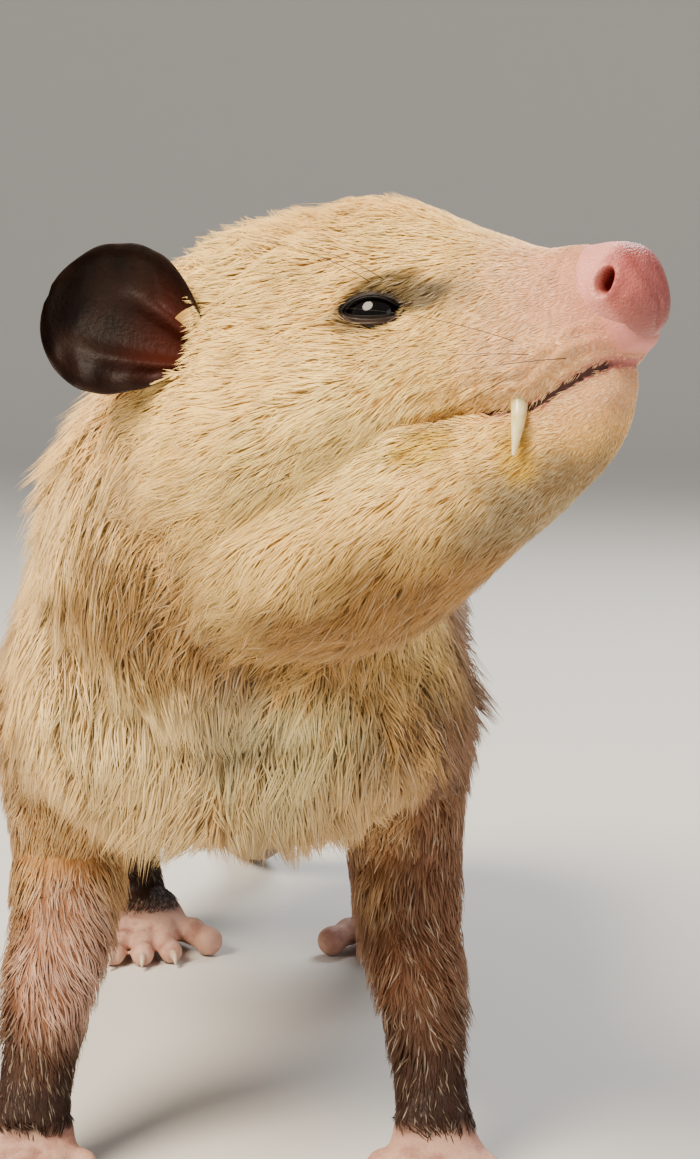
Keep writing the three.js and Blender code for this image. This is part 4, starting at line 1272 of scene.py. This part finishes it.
# Nose leather: pink, damp, finely pebbled.
noseMaterial, add, principled = newMaterial(
    "dampPinkNose", Roughness=0.38, Subsurface_Weight=0.12, Subsurface_Scale=0.0015, IOR=1.4
)
pink, flushPink = hexColour(noseSet["pink"]), hexColour(noseSet["flush"])
own = ownPlace(add)
deep, rear, low = (
    add("Attribute", attribute_name=name).outputs["Fac"] for name in ("deep", "rear", "low")
)
flush = add("TexNoise", {"Vector": own, **grain(5)})
flushed = add("MapRange", {"Value": flush, **span(0.35, 0.7)})
noseTone = add("Mix", {0: flushed, 6: pink, 7: flushPink})
blotch = add("TexNoise", {"Vector": own, **grain(2.2, 4, 0.7)})
swing = add("Math", {0: blotch, 1: 0.5}, operation="SUBTRACT")
paling = add("Math", {0: swing, 1: 0.9, 2: rear}, operation="MULTIPLY_ADD")
paled = add("MapRange", {"Value": paling, **span(0.05, 0.8)})
# Paler towards the rear, painted shade low down, dark red in the nostrils
for amount, name in ((paled, "rear"), (low, "low"), (deep, "deep")):
    noseTone = add("Mix", {0: amount, 6: noseTone, 7: hexColour(noseSet[name])})
pebbles = add("TexVoronoi", {"Vector": own, "Scale": 1 / 0.55}, feature="F1")
noseBump = add("Bump", {"Height": pebbles, "Strength": 0.9, "Distance": -0.0002})
dress(principled, noseTone, noseBump)
nose.data.materials.append(noseMaterial)

say("ears")
# Ear leather: thin, smooth, near black, dark red where it runs into the ear's root.
earMaterial, add, principled, leather = mottled(
    "thinEarLeather", "150B08", "23150F", 9, 4, Roughness=0.52, IOR=1.3, Specular_IOR_Level=0.3
)
inner = add("Attribute", attribute_name="inner").outputs["Fac"]
leather = add("Mix", {0: inner, 6: leather, 7: hexColour("3E170D")})
earGrain = add("TexNoise", {"Vector": ownPlace(add), **grain(1.3, 5, 0.6)})
earBump = add("Bump", {"Height": earGrain, "Strength": 0.6, "Distance": 0.0005})
dress(principled, leather, earBump)


def ear(sign):
    along, sideways, facing = earWays(sign)
    part, turn = np.meshgrid(np.linspace(-0.06, 1, 70), np.linspace(-1, 1, 70), indexing="ij")
    rim, level = earCup(part, turn)
    inwardFold = 3.2 * smooth(0.7, 1.0, np.abs(turn)) * smooth(0.62, 0.1, part)
    ridge = 2.8 * np.exp(-(((turn + 0.3 + 0.25 * part) / 0.15) ** 2)) * smooth(0.9, 0.4, part)
    ridge = ridge + 2.2 * np.exp(-(((turn - 0.34 - 0.1 * part) / 0.12) ** 2)) * smooth(0.75, 0.25, part)
    ripple = 0.5 * np.sin(part * 27 + 1.7 * np.sin(turn * 4)) * smooth(0.3, 0.8, np.abs(turn))
    rolled = 1.5 * smooth(0.84, 0.97, np.maximum(np.abs(turn), part)) * smooth(0.1, 0.4, part)
    edge = smooth(0.86, 1.0, np.maximum(np.abs(turn), (part - 0.2) / 0.8))
    thick = 1.1 * np.sqrt(np.maximum(1 - edge**2, 0.04))
    level = level + inwardFold + ridge + ripple + rolled
    spine = mirrored(earSet["root"], sign) + along * (part * earSet["length"])[..., None]
    spine = spine + sideways * (turn * rim)[..., None]
    front, back = (spine + facing * (level + side * thick / 2)[..., None] for side in (1, -1))
    piece = ringSkin("ear" + sideNames[sign], fromHead(np.concatenate([front, back[:, ::-1]], 1)))
    inner = smooth(0.62, 0.12, part) * smooth(0.95, 0.4, np.abs(turn - 0.1))
    tone = np.concatenate([inner, np.zeros_like(inner)], 1).ravel()
    setAttribute(piece, "inner", np.concatenate([tone, [0, 0]]))
    return finished(piece, earMaterial)


ears = bothSides(ear)

say("teeth and claws")
# Tooth enamel: cream yellow, worn smooth.
glow = {"Subsurface_Weight": 0.3, "Subsurface_Scale": 0.001}
toothMaterial = mottled("creamTooth", "EBDFB0", "D9C67E", 3, Roughness=0.25, IOR=1.6, **glow)[0]
# Claw horn: pale, slightly see-through.
glow = {"Subsurface_Weight": 0.2, "Subsurface_Scale": 0.001}
clawMaterial = mottled("paleClawHorn", "D8C6AE", "A8927C", 2.5, Roughness=0.32, IOR=1.54, **glow)[0]


# A canine in the head's frame, from the gum down: x, y, z, radius across, radius fore and aft.
canineRows = np.array([
    [8.6, 29.4, -11.5, 1.7, 1.9],
    [9.6, 29.4, -14.2, 1.75, 2],
    [11.1, 29.6, -18, 1.45, 1.7],
    [12, 30.4, -21.4, 0.95, 1.1],
    [12.3, 31.8, -24.8, 0.3, 0.35],
])


def canine(sign):
    middle = fromHead(mirrored(canineRows[:, :3], sign))
    rows = np.column_stack([middle, canineRows[:, 3:]])
    return finished(limbForm("canine" + sideNames[sign], rows, around=24), toothMaterial)


def clawOn(name, toe, size):
    ahead = np.array([math.sin(toe["turn"]), -math.cos(toe["turn"])])
    root, radius = np.array(toe["root"]), toe["radius"]
    start, level = toe["length"] - 1.6, radius * 0.84

    def at(d, z, r):
        return [*(root + ahead * (start + d)), z, r, r * 1.25]

    points = [
        at(-1.5, level - 0.3, 1.25),
        at(0, level, 1.3),
        at(size * 0.4, level + 0.5, 1.1),
        at(size * 0.78, level - 0.5, 0.7),
        at(size, level - 1.9, 0.24),
    ]
    piece = limbForm(name, points, across=(ahead[1], -ahead[0], 0), rings=30, around=20)
    return finished(piece, clawMaterial)


canines = bothSides(canine)
clawSize = {"fore": 6.5, "hind": 5.5}
claws = {}
for sign, side in sideNames.items():
    for limb, toes in (("fore", foreToes(sign)), ("hind", hindToes(sign))):
        for i, toe in enumerate(toes, 1):
            node = f"{limb}_claw_{side.lower()}_{i}"
            claws[node] = clawOn(f"{limb}Claw{side}{i}", toe, clawSize[limb])

say("whiskers")
# Whiskers: stiff dark hairs on the muzzle, the cheek and over the eye, in the head's frame.
whiskerMaterial = newMaterial("darkWhisker", Roughness=0.4, IOR=1.5, Base_Color=hexColour("2E211A"))[0]
whiskerSet = {"wide": 0.18, "sides": 6, "rings": 18}

# Each group: roots, depth in the skin, direction and how far it strays, bend, shortest and longest.
whiskerGroups = [
    (
        [(16, 13.8, -10.0), (22, 14.6, -7.5), (28, 15.8, -10.5), (25, 14.8, -4.0)],
        1.5, (0.62, 0.75, 0.1), 0.22, (0, 0.12, -0.1), (26, 40),
    ),
    ([(50, 18.6, 16.5), (53, 19.4, 17.0)], 1, (0.75, 0.2, 0.55), 0, (0.05, 0.5, -0.05), (22, 30)),
    ([(70, 31, -14), (73, 32, -18)], 1, (0.7, 0.5, -0.2), 0, (0, 0.3, -0.15), (20, 28)),
]


def whisker(start, ahead, bend, length):
    t = np.linspace(-0.02, 1, whiskerSet["rings"])
    middle = start + length * (unit(ahead) * t[:, None] + bend * (t**2)[:, None])
    radius = 0.5 * whiskerSet["wide"] * (1 - 0.85 * np.clip(t, 0, 1))
    return np.column_stack([fromHead(middle), radius, radius])


def whiskers(sign):
    pieces = []
    shape = {"across": (0.3, 0.2, 1), "rings": whiskerSet["rings"], "around": whiskerSet["sides"]}
    for roots, depth, ahead, stray, bend, lengths in whiskerGroups:
        for y, x, z in roots:
            length = rng.uniform(*lengths)
            way = mirrored(ahead, sign) + (rng.normal(0, stray, 3) if stray else 0)
            row = whisker(mirrored((x - depth, y, z), sign), way, mirrored(bend, sign), length)
            pieces.append(limbForm(f"whisker{len(pieces)}", row, **shape))
    return finished(joinedPiece("whiskers" + sideNames[sign], pieces), whiskerMaterial)


whiskerPieces = bothSides(whiskers)

say("frame")
legParts = ("upper_arm", "forearm", "forefoot", "thigh", "shin", "hind_foot")
legNodes = [f"{part}_{side.lower()}" for part in legParts for side in sideNames.values()]
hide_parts("head", "lower_jaw", "neck", "chest", "loin", "rump", *legNodes)
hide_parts("tail_base", "tail_middle", "tail_tip")
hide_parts("nose")
for sign in sideNames:
    side = sideNames[sign].lower()
    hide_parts(f"ear_{side}")
    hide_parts(f"eye_{side}")
    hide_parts(f"upper_canine_{side}")
for node, piece in claws.items():
    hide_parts(node)
coatSlots = {name: "face_fur" for name in ("muzzle", "face", "cheek")}
coatSlots.update({"chest": "chest_fur", "trunk": "body_fur", "leg": "leg_fur"})
groups = (eyes, lids, ears, canines, whiskerPieces, claws, coatPieces)
for piece in [skin, nose, *[piece for group in groups for piece in group.values()]]:
    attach(piece, "root")

say("camera and light")
stageSet = {
    "camera": (28.0, -550.0, 202.0),
    "pitch": 6.0,
    "focal": 73.6,
    "floor": "D9D6D0",
    "room": "E6E8EC",
    "roomLight": 0.44,
    "bowl": {"level": 3200, "bend": 1400, "steps": 14, "around": 96},
}

# Each lamp: place, what it looks at, width in metres, watts, colour
lamps = {
    "keyLight": ((-760, -760, 1350), (20, 0, 150), 0.9, 72, "FFF0D8"),
    "fillLight": ((1300, -900, 600), (20, 0, 150), 1.2, 6.5, "F6F6FF"),
    "backLight": ((500, 1100, 1300), (0, 60, 160), 0.8, 22, "FFFFFF"),
}


# Floor and backdrop in one bowl: level round the animal, rising far behind every camera.
def sweep():
    level, bend, steps, around = stageSet["bowl"].values()
    rise = np.linspace(0, np.pi / 2, steps)
    reach = np.concatenate([[1], np.linspace(400, level, 6), level + bend * np.sin(rise[1:])])
    height = np.concatenate([np.zeros(7), bend - bend * np.cos(rise[1:])])
    turn = np.arange(around) * 2 * np.pi / around
    points = [(r * math.cos(a), r * math.sin(a), z) for r, z in zip(reach, height) for a in turn]
    faces = [face[::-1] for face in ringFaces(len(reach), around)]
    return newPiece("floorSweep", points, faces + [tuple(range(around))])


floor = sweep()
paper = newMaterial("mattPaper", Roughness=0.85, Base_Color=hexColour(stageSet["floor"]))[0]
floor.data.materials.append(paper)


def areaLight(name, place, target, size, power, colour):
    bpy.ops.object.light_add(type="AREA", location=inFrame([place])[0])
    lamp = bpy.context.object
    lamp.name = name
    lamp.data.shape = "DISK"
    lamp.data.size = size
    lamp.data.energy = power
    lamp.data.color = hexColour(colour)[:3]
    lamp.rotation_euler = (Vector(target) - Vector(place)).to_track_quat("-Z", "Y").to_euler()


for name, lamp in lamps.items():
    areaLight(name, *lamp)

world = bpy.data.worlds.new("softRoom")
bpy.context.scene.world = world
world.use_nodes = True
room = world.node_tree.nodes["Background"].inputs
room["Color"].default_value = hexColour(stageSet["room"])
room["Strength"].default_value = stageSet["roomLight"]

bpy.ops.object.camera_add(location=inFrame([stageSet["camera"]])[0])
camera = bpy.context.object
camera.name = "photoCamera"
camera.rotation_euler = (math.radians(90 - stageSet["pitch"]), 0, 0)
camera.data.lens = stageSet["focal"]
camera.data.sensor_width = 36
camera.data.clip_start = 0.01
bpy.context.scene.camera = camera
